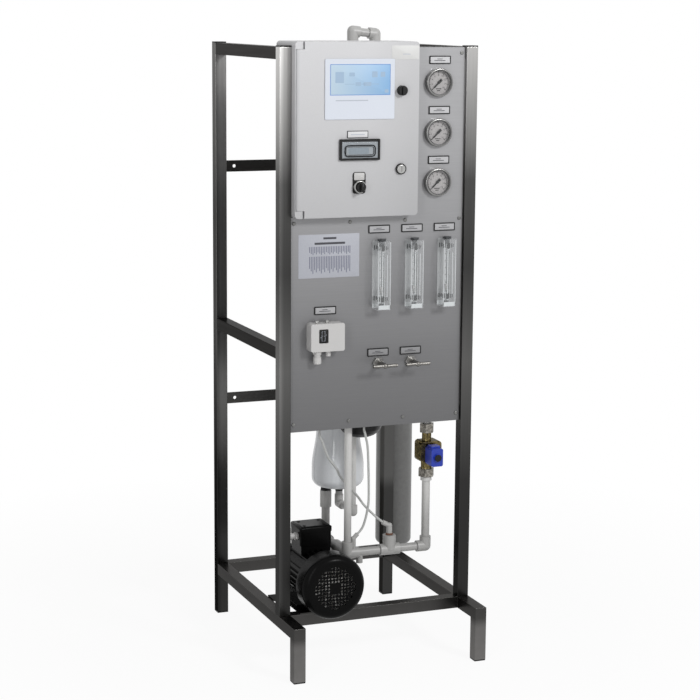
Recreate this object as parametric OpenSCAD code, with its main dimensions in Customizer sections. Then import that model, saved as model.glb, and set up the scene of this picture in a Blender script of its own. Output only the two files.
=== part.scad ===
// Reverse osmosis water system on a square-tube stainless frame.
// Datum: x = 0 is the middle of the frame, y = 0 the front of the posts, z = 0 the floor.

/* [Frame] */
// Side of the square frame tube
tube = 30; // [28:1:32]
// Wall of the square frame tube
tube_wall = 2; // [1:0.5:4]
// Width of the frame over the posts
frame_w = 520; // [510:5:560]
// Depth of the frame over the posts
frame_d = 530; // [500:5:600]
// Height of the posts with their plugs
frame_h = 1550; // [1540:5:1620]
// Reach of the base rails in front of the posts
base_reach = 110; // [80:5:160]
// Height of the top of the base rails
base_top = 140; // [130:5:150]
// Drop of the middle side rails' underside below the post tops
mid_rail_z = 760; // [740:5:780]
// Thickness of the plastic tube plugs' flanges
plug_flange = 3; // [2:0.5:5]
// Length of the plugs inside the tubes
plug_insert = 15; // [8:1:25]
// Thickness of the flat rear bars
bar_t = 4; // [3:0.5:6]
// Drop of the lower rear bar's middle below the post tops
lower_bar_z = 950; // [910:5:990]
// Drop of the upper rear bar's middle below the post tops
upper_bar_z = 325; // [290:5:370]
// Distance of the clamp holes from the ends of the rear bars
bar_hole_in = 21; // [15:1:40]
// Diameter of the clamp holes in the rear bars
bar_hole_d = 9; // [6:0.5:12]

/* [Front panel] */
// Distance of the panel's face behind the face of the posts
panel_recess = 10; // [6:1:12]
// Thickness of the panel sheet
panel_t = 2; // [1:0.5:3]
// Drop of the panel's lower edge below the post tops
panel_bottom = 944; // [938:1:950]
// Gap between the panel and the posts
panel_gap = 1; // [0.5:0.5:3]
// Diameter of the panel screw heads
screw_head_d = 9; // [7:0.5:11]
// Diameter of the panel screws
screw_d = 4; // [3:0.5:5]
// Inset of the outer panel screws from the posts
screw_inset = 10; // [8:1:14]
// Width of the label holders
label_w = 57; // [50:1:60]
// Height of the label holders
label_h = 20; // [16:1:22]
// Thickness of the label holders
label_t = 2.5; // [1.5:0.5:4]

/* [Cabinet] */
// Width of the control cabinet
cab_w = 321; // [315:1:325]
// Height of the control cabinet
cab_h = 421.5; // [415:0.5:425]
// Depth of the control cabinet with its door
cab_depth = 133; // [128:1:150]
// Reach of the cabinet door in front of the posts
cab_out = 25; // [23:1:28]
// Rise of the cabinet above the posts
cab_rise = 10; // [5:1:15]
// Sheet of the cabinet body
cab_sheet = 1.5; // [1:0.25:2]
// Corner radius of the cabinet seen from the front
cab_round = 9; // [6:0.5:11]
// Thickness of the folded door
door_t = 20; // [18:1:20]
// Sheet of the door's face
door_sheet = 2; // [1.5:0.25:3]
// Width of one module of the rail devices
gear_w = 18; // [17:0.5:18]
// Distance of the rail devices from the cabinet's left side
gear_in = 55; // [45:1:65]
// Diameter of the door hinge pins
pin_d = 5; // [4:0.5:6]
// Length of the hinge pins inside the door
pin_reach = 20; // [15:1:30]
// Height of the hinge lugs at the cabinet's corners
lug_h = 18; // [15:1:22]

/* [Door devices] */
// Width of the controller's front
ctrl_w = 180; // [170:1:185]
// Height of the controller's front
ctrl_h = 144; // [135:1:150]
// Height of the controller's middle below the cabinet's top
ctrl_drop = 113; // [110:1:118]
// Distance of the door devices' common centre line from the cabinet's left side
device_x = 165; // [160:1:170]
// Width of the breaker window's frame
win_w = 104; // [98:1:110]
// Height of the breaker window's frame
win_h = 51; // [46:1:54]
// Depth of the breaker window's frame
win_t = 7; // [6:0.5:9]
// Height of the window's middle below the cabinet's top
win_drop = 258; // [252:1:262]
// Width of the selector's legend plate
legend_w = 33; // [30:1:36]
// Height of the selector's legend plate
legend_h = 52; // [48:1:56]
// Height of the selector's turning axis below the cabinet's top
selector_drop = 348; // [342:1:352]
// Diameter of the selector's knob
selector_d = 23; // [20:1:25]
// Distance of the locks from the cabinet's right side
lock_in = 47; // [44:1:50]
// Height of the upper lock below the cabinet's top
upper_lock_drop = 117; // [110:1:125]
// Height of the lower lock below the cabinet's top
lower_lock_drop = 307; // [300:1:315]
// Diameter of the lock spindles
lock_pin_d = 10; // [8:0.5:12]

/* [Gauges] */
// Diameter of the gauge bezels
gauge_d = 70; // [66:1:72]
// Distance of the gauges from the middle of the frame
gauge_x = 157; // [150:1:165]
// Height of the top gauge below the post tops
gauge_drop = 90; // [85:1:95]
// Spacing of the gauges
gauge_pitch = 122.5; // [115:0.5:126]
// Depth of the gauges in front of the panel
gauge_out = 14; // [12:1:18]
// Height of a gauge's label above its centre
gauge_label_up = 55; // [52:1:58]

/* [Flowmeters] */
// Width of a flowmeter block
flow_w = 36; // [32:1:40]
// Depth of a flowmeter block
flow_depth = 38; // [34:1:42]
// Height of a flowmeter block
flow_h = 170; // [160:1:178]
// Distance of the left flowmeter from the middle of the frame
flow_x = 3.5; // [0:0.5:6]
// Spacing of the flowmeters
flow_pitch = 88; // [80:1:92]
// Drop of the flowmeters' top below the cabinet
flow_drop = 63; // [60:1:68]
// Diameter of a flowmeter's bore
flow_bore_d = 14; // [12:0.5:18]
// Diameter of a float's guide rod
rod_d = 2.4; // [2:0.2:3]
// Height of a float
float_h = 16; // [12:1:20]
// Distance of a flowmeter's connections from its ends
flow_port_in = 26; // [22:1:30]

/* [Valves and pressure switch] */
// Height of the valves above the panel's lower edge
valve_up = 162; // [155:1:170]
// Length of a valve's T-bar
bar_len = 64; // [50:1:76]
// Diameter of a valve's T-bar
bar_d = 8.5; // [6:0.5:10]
// Reach of the T-bars in front of the panel
bar_out = 50; // [45:1:55]
// Diameter of a valve stem
stem_d = 8; // [6:0.5:10]
// Width of the pressure switch
switch_w = 88; // [84:1:92]
// Height of the pressure switch
switch_h = 69; // [64:1:74]
// Depth of the pressure switch
switch_depth = 33; // [30:1:38]
// Size of the cable glands over their flats
gland_d = 20; // [18:0.5:22]
// Distance of the pressure switch from the left post
switch_in = 44; // [40:1:48]
// Height of the pressure switch's base above the panel's lower edge
switch_up = 204; // [198:1:210]

/* [Motor and pump] */
// Distance of the motor axis from the middle of the frame to the left
motor_in = 133; // [130:1:136]
// Height of the motor axis above its plate
shaft_h = 74.5; // [72:0.5:78]
// Diameter of the fan cover
cover_d = 166; // [160:1:168]
// Reach of the fan cover in front of the posts
cover_out = 61; // [61:1:66]
// Length of the fan cover
cover_len = 60; // [56:1:60]
// Diameter of the motor frame over its fins
motor_d = 132; // [126:1:134]
// Length of the motor behind the fan cover
motor_len = 180; // [175:1:185]
// Diameter of the motor shaft
shaft_d = 19; // [16:1:22]
// Diameter of the grille in the fan cover
grille_d = 114; // [104:1:118]
// Spacing of the grille holes in the fan cover
grille_pitch = 8.6; // [8.4:0.2:10]
// Diameter of a grille hole
grille_hole = 5.6; // [4:0.2:6.4]
// Diameter of the pump's barrel
pump_d = 88; // [80:1:92]
// Length of the pump's barrel
pump_len = 72; // [68:1:76]
// Thickness of the plate under the motor
plate_t = 3; // [2:0.5:5]
// Width of the plate under the motor
plate_w = 142; // [138:1:150]
// Length of the plate under the motor
plate_len = 175; // [165:1:185]
// Width of the plate's arm to its rest on the left base rail
arm_w = 40; // [30:1:60]

/* [Vessels] */
// Diameter of the membrane vessel
vessel_d = 102; // [96:1:106]
// Distance of the membrane vessel from the middle of the frame
vessel_x = 296; // [294:1:306]
// Height of the membrane vessel's underside
vessel_z = 126; // [110:2:150]
// Length of the membrane vessel over its caps
vessel_len = 1110; // [1060:5:1120]
// Height of the lower clamp above the membrane vessel's underside
clamp_up = 560; // [540:5:600]
// Spacing of the membrane vessel's clamps
clamp_pitch = 400; // [340:5:440]
// Length of the membrane element
element_len = 1016; // [1000:1:1018]
// Thickness of the vessel's bracket plates
bracket_t = 4; // [3:0.5:6]
// Largest diameter of the white filter vessel
bulb_d = 137; // [130:1:138]
// Diameter of the white filter vessel's upper part
bulb_neck_d = 114; // [106:1:118]
// Height of the white filter vessel's underside
bulb_z = 398; // [390:1:406]
// Diameter of the black filter housing
bowl_d = 118; // [110:1:120]
// Drop of the black filter housing's underside below its shelf
bowl_z = 264; // [256:1:272]

/* [Pipework] */
// Diameter of the feed and suction pipe
pipe_d = 21; // [19:0.5:24]
// Diameter of the recirculation pipe
return_d = 19; // [16:0.5:20]
// Thickness that a pipe fitting adds to its pipe all round
fit_wall = 4; // [3:0.5:5]
// Distance of the feed riser from the middle of the frame
riser_x = 158; // [150:1:162]
// Depth of the riser and the feed run behind the post faces
riser_y = 50; // [48:1:52]
// Drop of the solenoid valve's middle below the panel
solenoid_drop = 84.5; // [80:0.5:90]
// Height of the feed inlet above the solenoid valve's middle
inlet_up = 138; // [130:1:150]
// Height of the feed run
run_z = 271.5; // [268:0.5:276]
// Distance of the feed tee from the middle of the frame
tee_x = 57; // [52:1:62]
// Distance of the feed run's left end from the middle of the frame
run_end = 58; // [56:0.5:60]
// Rise of the permeate bend's crown above the post tops
bend_top = 45; // [40:1:90]
// Spacing of the permeate bend's legs
bend_pitch = 61; // [52:1:66]
// Outside diameter of the thin free tubes
hose_d = 6; // [4:0.5:8]

/* [Clearances] */
// Gap between a turning piece and its bore
run_gap = 0.05; // [0.02:0.01:0.1]
// Gap between neighbouring pieces
seat_gap = 0.3; // [0.2:0.05:0.6]

/* [Hidden] */
$fn = 64;

// Frame planes
half_w = frame_w / 2;
inner = half_w - tube;
rear_front = frame_d - tube;
post_x = half_w - tube / 2;
post_top = frame_h - plug_flange;
mid_low = frame_h - mid_rail_z;

// Panel planes
panel_back = panel_recess + panel_t;
panel_top = frame_h - 4;
panel_low = frame_h - panel_bottom;
rail_up = 4;
panel_half = inner - panel_gap;

// Cabinet planes
cab_l = -inner;
cab_r = cab_l + cab_w;
cab_top = frame_h + cab_rise;
cab_bot = cab_top - cab_h;
cab_front = -cab_out;
cab_back = cab_front + cab_depth;
door_back = cab_front + door_t;
cab_lip = door_back + 2;
lip_side = 16;
lip_hinge = 38;
hinge_r = door_t / 2;
hinge_x = cab_l + cab_sheet + 0.5 + hinge_r;
hinge_y = cab_front + hinge_r;
lug_half = hinge_x - cab_l;
lug_arc = lug_half - seat_gap;
notch_x = hinge_x + lug_half + 0.5;
rim = 18;
pocket_l = cab_l + 40;
plate_y = cab_back - cab_sheet - 8;

// Door devices
dev_x = cab_l + device_x;
ctrl_z = cab_top - ctrl_drop;
win_z = cab_top - win_drop;
sel_z = cab_top - selector_drop;
lock_x = cab_r - lock_in;
upper_lock_z = cab_top - upper_lock_drop;
lower_lock_z = cab_top - lower_lock_drop;
cam_y = cab_lip + cab_sheet + seat_gap;
flap_pin_d = 2.4;
flap_z = win_z + win_h / 2 - 5;

// Panel devices
gauge_z = [for (i = [0:2]) frame_h - gauge_drop - i * gauge_pitch];
flow_xs = [for (i = [0:2]) flow_x + i * flow_pitch];
flow_top = cab_bot - flow_drop;
flow_bot = flow_top - flow_h;
bore_out = flow_depth / 2;
low_port = flow_bot + flow_port_in;
high_port = flow_top - flow_port_in;
plug_in = 14;
float_rest = flow_bot + 40;
tail_d = 18;
tail_end = riser_y - 14;
valve_z = panel_low + valve_up;
valve_xs = [flow_xs[0], flow_xs[1]];
valve_d = 30;
switch_l = -inner + switch_in;
switch_z = panel_low + switch_up;
switch_x = switch_l + switch_w / 2;
sense_x = switch_l + 51;
spindle_xs = [switch_l + 21, switch_l + 47];
gland_x = switch_l + 22;

// Motor, pump and plate
plate_top = base_top + plate_t;
motor_x = -motor_in;
motor_z = plate_top + shaft_h;
cover_back = cover_len - cover_out;
motor_back = cover_back + motor_len;
box_front = motor_back - 104;
box_back = box_front + 77;
box_half = 44;
box_h = 50;
box_z = motor_z + motor_d / 2 + 9;
shaft_in = 60;
rest_w = 26;
block_x = motor_x + 50;
block_y = motor_back + 8;
suction_y = block_y + 18;
pressure_y = 250;

// Vessels
vessel_r = vessel_d / 2;
vessel_y = frame_d + bracket_t + vessel_r + seat_gap;
vessel_top = vessel_z + vessel_len;
cap_h = 18;
clamp_zs = [vessel_z + clamp_up, vessel_z + clamp_up + clamp_pitch];
band_t = 3;
feed_port_z = vessel_z + 60;
reject_port_z = vessel_top - 60;
port_reach = 18;
press_d = 22;
reject_d = 19;
press_y = vessel_y + vessel_r + seat_gap + band_t + press_d / 2 + fit_wall + 1;
press_x = 130;
shelf_z = mid_low + tube;
neck_h = 70;
bulb_x = -8;
bulb_y = 250;
bulb_top = shelf_z - neck_h;
port_left = bulb_x - 33;
port_right = bulb_x + 4.5;
bowl_x = 6;
bowl_y = riser_y + valve_d / 2 + bowl_d / 2 + 4;
head_h = 50;
bowl_top = shelf_z - head_h;
bowl_low = shelf_z - bowl_z;
head_z = shelf_z - head_h / 2;
link_y = 150;
link_z = 350;

// Overall box of the object, from which the origin below its middle follows
x_min = -half_w;
x_max = vessel_x + vessel_r + seat_gap + band_t;
y_min = -base_reach;
y_max = press_y + press_d / 2 + fit_wall;
origin_x = (x_min + x_max) / 2;
origin_y = (y_min + y_max) / 2;

// Routes of the thin free tubes, chosen by eye
sensing_route = [[-135, 40, 780], [-136, 41, 700], [-138, 45, 595], [-128, 50, 568], [-107, 60, 521],
    [-81, 72, 490], [-66, 78, 463], [-26, 75, 417], [-6, 65, 388], [18, 54, 362], [38, 50, 344.5]];
sample_route = [[-14, 50, 738], [-17, 44, 690], [-21, 38, 604], [-16, 38, 577], [-9, 38, 537], [-5.5, 38, 422],
    [-8, 41, 381], [-15, 46, 345], [-22, 49.5, 329], [-30.7, 50, 319.8]];

// Places the object over its origin
module stand() {
    translate([-origin_x, -origin_y, 0]) children();
}

// Box between two corners
module box(x0, x1, y0, y1, z0, z1) {
    translate([x0, y0, z0]) cube([x1 - x0, y1 - y0, z1 - z0]);
}

// Frame in which local z points to the viewer and local y up
module face(x, y, z) {
    translate([x, y, z]) rotate([90, 0, 0]) children();
}

// Round bar along x, y or z from a starting point
module bar_x(p, l, d) {
    translate(p) rotate([0, 90, 0]) cylinder(d = d, h = l);
}
module bar_y(p, l, d) {
    translate(p) rotate([-90, 0, 0]) cylinder(d = d, h = l);
}
module bar_z(p, l, d) {
    translate(p) cylinder(d = d, h = l);
}

// Hexagon nut along z, measured over its flats
module hex_z(p, l, flats) {
    translate(p) cylinder(d = flats / cos(30), h = l, $fn = 6);
}

// Rectangle with round corners, centred
module round_rect(w, h, r) {
    square([w - 2 * r, h], center = true);
    square([w, h - 2 * r], center = true);
    for (sx = [-1, 1], sy = [-1, 1]) translate([sx * (w / 2 - r), sy * (h / 2 - r)]) circle(r);
}

// Turned cylinder with a rounded front edge
module round_front(r, l, edge) {
    rotate_extrude() {
        square([r, l - edge]);
        square([r - edge, l]);
        intersection() {
            translate([r - edge, l - edge]) circle(edge);
            translate([r - edge - 1, l - edge - 1]) square(edge + 2);
        }
    }
}

// Square tube along z from the floor of its own frame
module square_tube(l) {
    linear_extrude(l) difference() {
        square(tube, center = true);
        square(tube - 2 * tube_wall, center = true);
    }
}

// Rectangular tube of the panel rails along x
module panel_rail(x0, x1, z0) {
    depth = tube - panel_back;
    difference() {
        box(x0, x1, panel_back, tube, z0, z0 + tube);
        box(x0 - 1, x1 + 1, panel_back + tube_wall, panel_back + depth - tube_wall,
            z0 + tube_wall, z0 + tube - tube_wall);
    }
}

// Pipe elbow at a corner, with one socket along each given axis direction
module elbow(p, d, sockets, reach) {
    translate(p) sphere(d = d + 2 * fit_wall);
    for (s = sockets) {
        if (s[0] != 0) bar_x([p[0] + min(0, s[0] * reach), p[1], p[2]], reach, d + 2 * fit_wall);
        if (s[1] != 0) bar_y([p[0], p[1] + min(0, s[1] * reach), p[2]], reach, d + 2 * fit_wall);
        if (s[2] != 0) bar_z([p[0], p[1], p[2] + min(0, s[2] * reach)], reach, d + 2 * fit_wall);
    }
}

// Smooth route through the given points
function route_point(p, i, t) =
    let (a = p[max(i - 1, 0)], b = p[i], c = p[i + 1], e = p[min(i + 2, len(p) - 1)])
    0.5 * (2 * b + (c - a) * t + (2 * a - 5 * b + 4 * c - e) * t * t + (3 * b - a - 3 * c + e) * t * t * t);
function route_line(p, steps) =
    concat([for (i = [0:len(p) - 2], k = [0:steps - 1]) route_point(p, i, k / steps)], [p[len(p) - 1]]);
function unit(v) = v / norm(v);
function heading(q, i) = unit(q[min(i + 1, len(q) - 1)] - q[max(i - 1, 0)]);

// Tube swept along a route
module swept_tube(p, d, steps) {
    sides = 10;
    q = route_line(p, steps);
    n = len(q);
    rings = [for (i = [0:n - 1])
        let (h = heading(q, i), u = unit(cross([0, 1, 0], h)), v = cross(h, u))
        for (k = [0:sides - 1]) q[i] + d / 2 * (cos(360 * k / sides) * u + sin(360 * k / sides) * v)];
    walls = [for (i = [0:n - 2], k = [0:sides - 1])
        let (a = i * sides + k, b = i * sides + (k + 1) % sides)
        each [[a, b + sides, b], [a, a + sides, b + sides]]];
    first_end = [for (k = [1:sides - 2]) [0, k, k + 1]];
    last = (n - 1) * sides;
    last_end = [for (k = [1:sides - 2]) [last, last + k + 1, last + k]];
    polyhedron(points = rings, faces = concat(walls, first_end, last_end));
}

// Frame

module front_posts() {
    color("silver") for (s = [-1, 1]) translate([s * post_x, tube / 2, base_top])
        square_tube(post_top - base_top);
}

module rear_posts() {
    color("silver") for (s = [-1, 1]) translate([s * post_x, frame_d - tube / 2, plug_flange])
        square_tube(post_top - plug_flange);
}

module base_frame() {
    rail_front = tube - base_reach;
    color("silver") {
        for (s = [-1, 1]) {
            translate([s * post_x, rail_front, base_top - tube / 2]) rotate([-90, 0, 0])
                square_tube(rear_front - rail_front);
            translate([s * post_x, rail_front - tube / 2, plug_flange]) square_tube(base_top - plug_flange);
            translate([s * post_x, rail_front - tube / 2, base_top - tube_wall / 2])
                cube([tube - 2 * tube_wall, tube - 2 * tube_wall, tube_wall], center = true);
        }
        for (y = [tube / 2, frame_d - tube / 2])
            translate([-inner, y, base_top - tube / 2]) rotate([0, 90, 0]) square_tube(2 * inner);
        // angle inside the left rail on which the motor plate's arm rests
        box(-inner - 1, -inner + 3, plate_len - arm_w + 2, plate_len - 2, base_top - rest_w, base_top - 4);
        box(-inner + 1, -inner + rest_w, plate_len - arm_w + 3, plate_len - 3, base_top - 4.5, base_top);
    }
}

module side_rails() {
    color("silver") for (s = [-1, 1], z = [mid_low + tube / 2, post_top - tube / 2])
        translate([s * post_x, tube, z]) rotate([-90, 0, 0]) square_tube(rear_front - tube);
}

module panel_rails() {
    color("silver") {
        panel_rail(-inner, inner, panel_low + rail_up);
        panel_rail(-inner, inner, cab_bot - 0.5 - tube);
        panel_rail(cab_r + 0.5, inner, post_top - tube);
    }
}

module rear_bars() {
    color("silver") for (z = [frame_h - lower_bar_z, frame_h - upper_bar_z]) difference() {
        box(-inner, inner, rear_front, rear_front + bar_t, z - tube / 2, z + tube / 2);
        for (s = [-1, 1]) bar_y([s * (inner - bar_hole_in), rear_front - 1, z], bar_t + 2, bar_hole_d);
    }
}

// One plug with its flange at the floor of its own frame and its insert above
module tube_plug() {
    insert = tube - 2 * tube_wall;
    linear_extrude(plug_flange) round_rect(tube, tube, 1.5);
    translate([-insert / 2, -insert / 2, plug_flange]) cube([insert, insert, plug_insert]);
}

module tube_plugs() {
    foot_y = tube / 2 - base_reach;
    color("dimgray") for (s = [-1, 1]) {
        translate([s * post_x, foot_y, 0]) tube_plug();
        translate([s * post_x, frame_d - tube / 2, 0]) tube_plug();
        translate([s * post_x, frame_d - tube / 2, frame_h]) mirror([0, 0, 1]) tube_plug();
        translate([s * post_x, tube / 2, frame_h]) mirror([0, 0, 1]) tube_plug();
    }
}

// Front panel

screw_pitch = 2 * (inner - screw_inset) / 3;
screw_xs = [for (i = [0:3]) -inner + screw_inset + i * screw_pitch];
screw_rows = [panel_low + rail_up + tube / 2, cab_bot - 0.5 - tube / 2, post_top - tube / 2];
screw_spots = concat([for (x = screw_xs) [x, screw_rows[0]]], [for (x = screw_xs) [x, screw_rows[1]]],
    [[screw_xs[3], screw_rows[2]]]);

module front_panel() {
    stem_hole = stem_d + 12;
    color("darkgray") face(0, panel_back, 0) linear_extrude(panel_t) difference() {
        translate([-panel_half, panel_low]) square([2 * panel_half, panel_top - panel_low]);
        translate([-panel_half - 1, cab_bot - 0.5])
            square([cab_r + 0.5 + panel_half + 1, panel_top - cab_bot + 2]);
        for (z = gauge_z) translate([gauge_x, z]) circle(d = gauge_d - 8 + 2 * seat_gap);
        for (x = flow_xs, z = [low_port, high_port]) translate([x, z]) circle(d = tail_d + 2 * seat_gap);
        for (x = valve_xs) translate([x, valve_z]) circle(d = stem_hole);
        translate([sense_x, switch_z + 12]) circle(d = 10 + 2 * seat_gap);
        for (s = screw_spots) translate(s) circle(d = screw_d + 2 * seat_gap);
    }
}

module panel_screws() {
    color("silver") for (s = screw_spots) face(s[0], panel_recess, s[1]) {
        round_front(screw_head_d / 2, 2.4, 1.2);
        translate([0, 0, -panel_t]) cylinder(d = screw_d, h = panel_t);
    }
}

label_spots = concat([for (z = gauge_z) [gauge_x + 4, z + gauge_label_up]],
    [for (x = flow_xs) [x, flow_top + 27.5]], [for (x = valve_xs) [x, valve_z + 27]],
    [[switch_x + 4, switch_z + switch_h + 28]]);

module label_holders() {
    color("black") for (s = label_spots) face(s[0], panel_recess, s[1]) difference() {
        linear_extrude(label_t) round_rect(label_w, label_h, 1.5);
        translate([0, 0, label_t - 0.8]) linear_extrude(2) square([label_w - 5, label_h - 5], center = true);
    }
}

// Cabinet

// Outline of the cabinet from the front, run from one depth to another
module cabinet_block(y0, y1, shrink = 0) {
    face((cab_l + cab_r) / 2, y1, (cab_bot + cab_top) / 2) linear_extrude(y1 - y0)
        round_rect(cab_w - 2 * shrink, cab_h - 2 * shrink, cab_round - shrink / 2);
}

// Section of a hinge lug, clear of the turning door
module lug_section() {
    intersection() {
        circle(lug_arc);
        translate([-lug_half, -hinge_r]) square([2 * lug_half, 2 * lug_half]);
    }
    translate([-lug_half, 0]) square([2 * lug_half, cab_lip - hinge_y]);
    translate([-lug_half, -hinge_r]) square([lug_half, hinge_r]);
}

module hinge_lugs() {
    for (z = [cab_bot, cab_top - lug_h]) intersection() {
        translate([hinge_x, hinge_y, z]) linear_extrude(lug_h) lug_section();
        cabinet_block(cab_front - 1, cab_lip + 1);
    }
}

module cabinet_body() {
    color("gainsboro") difference() {
        union() {
            difference() {
                cabinet_block(cab_lip, cab_back);
                cabinet_block(cab_lip + cab_sheet, cab_back - cab_sheet, cab_sheet);
                box(cab_l + lip_hinge, cab_r - lip_side, cab_lip - 1, cab_lip + cab_sheet + 1,
                    cab_bot + lip_side, cab_top - lip_side);
            }
            box(cab_l, cab_l + cab_sheet, cab_front + 1, cab_lip, cab_bot + lug_h, cab_top - lug_h);
            hinge_lugs();
        }
        for (z = [cab_bot - 1, cab_top - lug_h - 1]) bar_z([hinge_x, hinge_y, z], lug_h + 2, pin_d);
    }
}

module hinge_pins() {
    color("silver") {
        bar_z([hinge_x, hinge_y, cab_bot + 2], lug_h - 2 + 0.5 + pin_reach, pin_d);
        bar_z([hinge_x, hinge_y, cab_top - lug_h - 0.5 - pin_reach], lug_h - 2 + 0.5 + pin_reach, pin_d);
    }
}

module cabinet_door() {
    color("gainsboro") difference() {
        intersection() {
            translate([0, 0, cab_bot]) linear_extrude(cab_h) {
                translate([hinge_x, cab_front]) square([cab_r - hinge_x, door_t]);
                translate([hinge_x, hinge_y]) circle(hinge_r);
            }
            cabinet_block(cab_front - 1, door_back + 1);
        }
        for (z = [cab_bot - 1, cab_top - lug_h - 0.5])
            box(cab_l - 1, notch_x, cab_front - 1, door_back + 1, z, z + lug_h + 1.5);
        box(pocket_l, cab_r - rim, cab_front + door_sheet, door_back + 1, cab_bot + rim, cab_top - rim);
        for (z = [cab_bot + lug_h, cab_top - lug_h - 0.5 - pin_reach - 1])
            bar_z([hinge_x, hinge_y, z], pin_reach + 1.5, pin_d + 2 * run_gap);
        face(dev_x, cab_front + door_sheet + 1, 0) linear_extrude(door_sheet + 2) {
            translate([0, ctrl_z]) square([ctrl_w - 30, ctrl_h - 34], center = true);
            translate([0, win_z]) square([win_w - 12, win_h - 14], center = true);
            translate([0, sel_z]) circle(d = 22);
        }
        for (z = [upper_lock_z, lower_lock_z])
            bar_y([lock_x, cab_front - 1, z], door_sheet + 2, lock_pin_d + 2 * run_gap);
    }
}

module door_seal() {
    y0 = door_back + seat_gap;
    color("black") difference() {
        box(cab_l + lip_hinge - 12, cab_r - 4, y0, cab_lip, cab_bot + 4, cab_top - 4);
        box(cab_l + lip_hinge - 2, cab_r - 14, y0 - 1, cab_lip + 1, cab_bot + 14, cab_top - 14);
    }
}

module mounting_plate() {
    color("lightgray") {
        box(cab_l + 18, cab_r - 18, plate_y - 2.5, plate_y, cab_bot + 18, cab_top - 18);
        for (x = [cab_l + 30, cab_r - 30], z = [cab_bot + 30, cab_top - 30])
            bar_y([x, plate_y, z], cab_back - cab_sheet - plate_y, 10);
    }
}

// Rail and the devices clipped on it, the devices given by their widths
module gear_row(x0, z, widths) {
    rail_y = plate_y - 2.5;
    function sum_to(i) = i == 0 ? 0 : widths[i - 1] + 1 + sum_to(i - 1);
    box(cab_l + 30, cab_r - 30, rail_y - 7, rail_y, z - 17, z + 17);
    for (i = [0:len(widths) - 1]) translate([x0 + sum_to(i), 0, z]) {
        box(0, widths[i], rail_y - 42, rail_y - 7, -40, 40);
        box(1, widths[i] - 1, rail_y - 50, rail_y - 42, -22, 22);
    }
}

module control_gear() {
    color("whitesmoke") {
        gear_row(cab_l + gear_in, ctrl_z + 20, gear_w * [3, 2.5, 2, 4]);
        gear_row(cab_l + gear_in, win_z, gear_w * [1, 1, 1, 2, 2.5, 4]);
        box(cab_l + 30, cab_r - 30, plate_y - 34, plate_y - 2.5, cab_bot + 40, cab_bot + 78);
    }
}

// Door devices

module controller() {
    color("aliceblue") face(dev_x, cab_front, ctrl_z) {
        difference() {
            linear_extrude(3) round_rect(ctrl_w, ctrl_h, 3);
            translate([0.5, 22, 2.4]) linear_extrude(2) square([ctrl_w - 23, ctrl_h / 2 + 3], center = true);
        }
        translate([0, 0, -42]) linear_extrude(42) square([ctrl_w - 31, ctrl_h - 35], center = true);
    }
}

module window_frame() {
    ear_in = win_w / 2 - 5;
    color("dimgray") difference() {
        face(dev_x, cab_front, win_z) linear_extrude(win_t) difference() {
            round_rect(win_w, win_h, 2);
            square([win_w - 10, win_h - 10], center = true);
        }
        bar_x([dev_x - ear_in - 2.5, cab_front - win_t / 2, flap_z - 3], 2 * ear_in + 5,
            flap_pin_d + 2 * run_gap);
    }
}

module window_flap() {
    half = win_w / 2 - 5 - seat_gap;
    flap_y = cab_front - win_t / 2;
    color("lightblue") {
        box(dev_x - half, dev_x + half, flap_y - 1.5, flap_y + 1.5,
            win_z - win_h / 2 + 5 + seat_gap, flap_z - 3);
        bar_x([dev_x - half - 2.4, flap_y, flap_z - 3], 2 * half + 4.8, flap_pin_d);
        bar_x([dev_x - half, flap_y, flap_z - 3], 2 * half, 3);
        face(dev_x, flap_y - 1.5, win_z - 3) difference() {
            linear_extrude(2.5) round_rect(2 * half - 14, win_h - 24, 9);
            translate([0, 0, -1]) linear_extrude(5) round_rect(2 * half - 20, win_h - 30, 6);
        }
    }
}

module selector_bezel() {
    color("dimgray") difference() {
        union() {
            face(dev_x, cab_front, sel_z + (legend_h - legend_w) / 2) linear_extrude(2)
                round_rect(legend_w, legend_h, 6);
            face(dev_x, cab_front - 2, sel_z) cylinder(d1 = 29, d2 = 26, h = 6);
            face(dev_x, cab_front + door_sheet + 36, sel_z) linear_extrude(36)
                square([30, 36], center = true);
            face(dev_x, cab_front + door_sheet, sel_z) cylinder(d = 22, h = door_sheet);
        }
        bar_y([dev_x, cab_front - 20, sel_z], 40, 8 + 2 * run_gap);
    }
}

module selector_knob() {
    color("black") face(dev_x, cab_front - 8 - seat_gap, sel_z) {
        round_front(selector_d / 2, 12, 2);
        translate([0, 0, 10]) linear_extrude(10) round_rect(8, selector_d - 1, 3);
        translate([0, 0, -16]) cylinder(d = 8, h = 17);
    }
}

// Spindle and cam shared by both door locks, at the door's face
module lock_spindle() {
    reach = cam_y - cab_front + seat_gap;
    translate([0, 0, -reach - 3]) cylinder(d = lock_pin_d, h = reach + 3.5);
    translate([0, 0, -reach - 2.5]) linear_extrude(2.5) {
        translate([-7, -lock_in + lip_side / 2]) square([14, lock_in - lip_side / 2]);
        circle(7);
    }
}

module upper_lock() {
    color("black") face(lock_x, cab_front - seat_gap, upper_lock_z) {
        lock_spindle();
        round_front(12, 14, 2);
        translate([0, 0, 13]) linear_extrude(5) round_rect(6, 20, 2);
    }
}

module lower_lock() {
    color("silver") face(lock_x, cab_front - seat_gap, lower_lock_z) {
        lock_spindle();
        difference() {
            round_front(11, 7, 2);
            translate([0, 0, 5]) linear_extrude(3) round_rect(3, 14, 1.4);
        }
    }
}

// Gauges

gauge_r = gauge_d / 2;
lens_r = gauge_r - 3.5;
dial_r = gauge_r - 5.5;
dial_z = 2;
lens_z = gauge_out - 4;
needle_pin_d = 2.4;

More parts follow.
